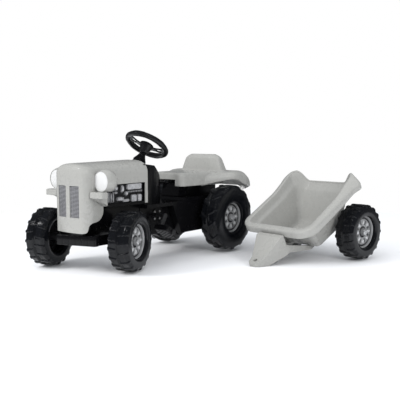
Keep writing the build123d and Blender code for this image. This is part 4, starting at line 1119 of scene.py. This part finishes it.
# floor, light and camera
studio = {"floorRadius": 2.0, "backdrop": 1.0, "sky": 0.93, "mirrored": 0.14, "sun": 0.85, "sunSpread": 40}
floorAngles = np.linspace(0, 2 * pi, 64, endpoint=False)
floorPoints = np.column_stack([studio["floorRadius"] * np.cos(floorAngles),
                               studio["floorRadius"] * np.sin(floorAngles), np.zeros(64)])
floorMesh = bpy.data.meshes.new("studio_floor")
floorMesh.from_pydata(floorPoints.tolist(), [], [list(range(64))])
studioFloor = placed("studio_floor", floorMesh)
floorMesh.materials.append(plastic("paperFloor", (0.93, 0.93, 0.94), (0.92, 0.92, 0.93), 0.6, 0.7,
                                   cloudScale=0.6, skinDepth=0.0))

# the camera sees a white backdrop, surfaces are lit by a dimmer sky and mirror a darker one
world = bpy.data.worlds.new("studio_sky")
world.use_nodes = True
nodes, links = world.node_tree.nodes, world.node_tree.links
sky = nodes["Background"]
backdrop, mirrored = nodes.new("ShaderNodeBackground"), nodes.new("ShaderNodeBackground")
coolWhite = (0.93, 0.96, 1.0, 1)
for node, colour, key in ((sky, coolWhite, "sky"), (backdrop, (1, 1, 1, 1), "backdrop"),
                          (mirrored, coolWhite, "mirrored")):
    node.inputs["Color"].default_value = colour
    node.inputs["Strength"].default_value = studio[key]
ray = nodes.new("ShaderNodeLightPath")
lit = nodes.new("ShaderNodeMixShader")
links.new(ray.outputs["Is Glossy Ray"], lit.inputs["Fac"])
links.new(sky.outputs["Background"], lit.inputs[1])
links.new(mirrored.outputs["Background"], lit.inputs[2])
seen = nodes.new("ShaderNodeMixShader")
links.new(ray.outputs["Is Camera Ray"], seen.inputs["Fac"])
links.new(lit.outputs["Shader"], seen.inputs[1])
links.new(backdrop.outputs["Background"], seen.inputs[2])
links.new(seen.outputs["Shader"], nodes["World Output"].inputs["Surface"])
bpy.context.scene.world = world


def softBox(name, spot, width, height, power, mirrored=True):
    # a soft rectangle of light that looks at the middle of the whole set
    light = bpy.data.lights.new(name, "AREA")
    light.shape = "RECTANGLE"
    light.size, light.size_y, light.energy = width, height, power
    holder = placed(name, light)
    holder.location = Vector(spot)
    holder.visible_glossy = mirrored
    aim = Vector((0, 0, 0.2))
    holder.rotation_euler = (aim - Vector(spot)).to_track_quat("-Z", "Y").to_euler()


softBox("key", (-1.2, -2.3, 1.5), 0.8, 0.7, 31, False)
softBox("side", (2.6, -0.9, 1.2), 0.6, 1.2, 26, False)
softBox("glint", (1.6, -1.7, 2.3), 0.12, 0.5, 7)
softBox("glint front", (-1.3, -1.9, 1.9), 0.16, 0.4, 5)
softBox("top", (0.3, 0.9, 2.7), 1.8, 1.4, 3)
overhead = bpy.data.lights.new("overhead", "SUN")
overhead.energy, overhead.angle = studio["sun"], radians(studio["sunSpread"])
overheadHolder = placed("overhead", overhead)
overheadHolder.rotation_euler = Vector((0.30, 0.85, -0.95)).to_track_quat("-Z", "Y").to_euler()
overheadHolder.visible_glossy = False

view = {"place": (1.6844, -2.0848, 0.4671), "down": 0.097, "turn": 0.6723, "lens": 54.6, "sensor": 36}
camera = placed("camera", bpy.data.cameras.new("camera"))
camera.data.sensor_width = view["sensor"]
camera.data.lens = view["lens"]
camera.location = tractorPlace @ Vector(view["place"])
camera.rotation_euler = (pi / 2 - view["down"], 0, view["turn"])
bpy.context.scene.camera = camera
bpy.context.scene.view_settings.view_transform = "Standard"
print("studio made")
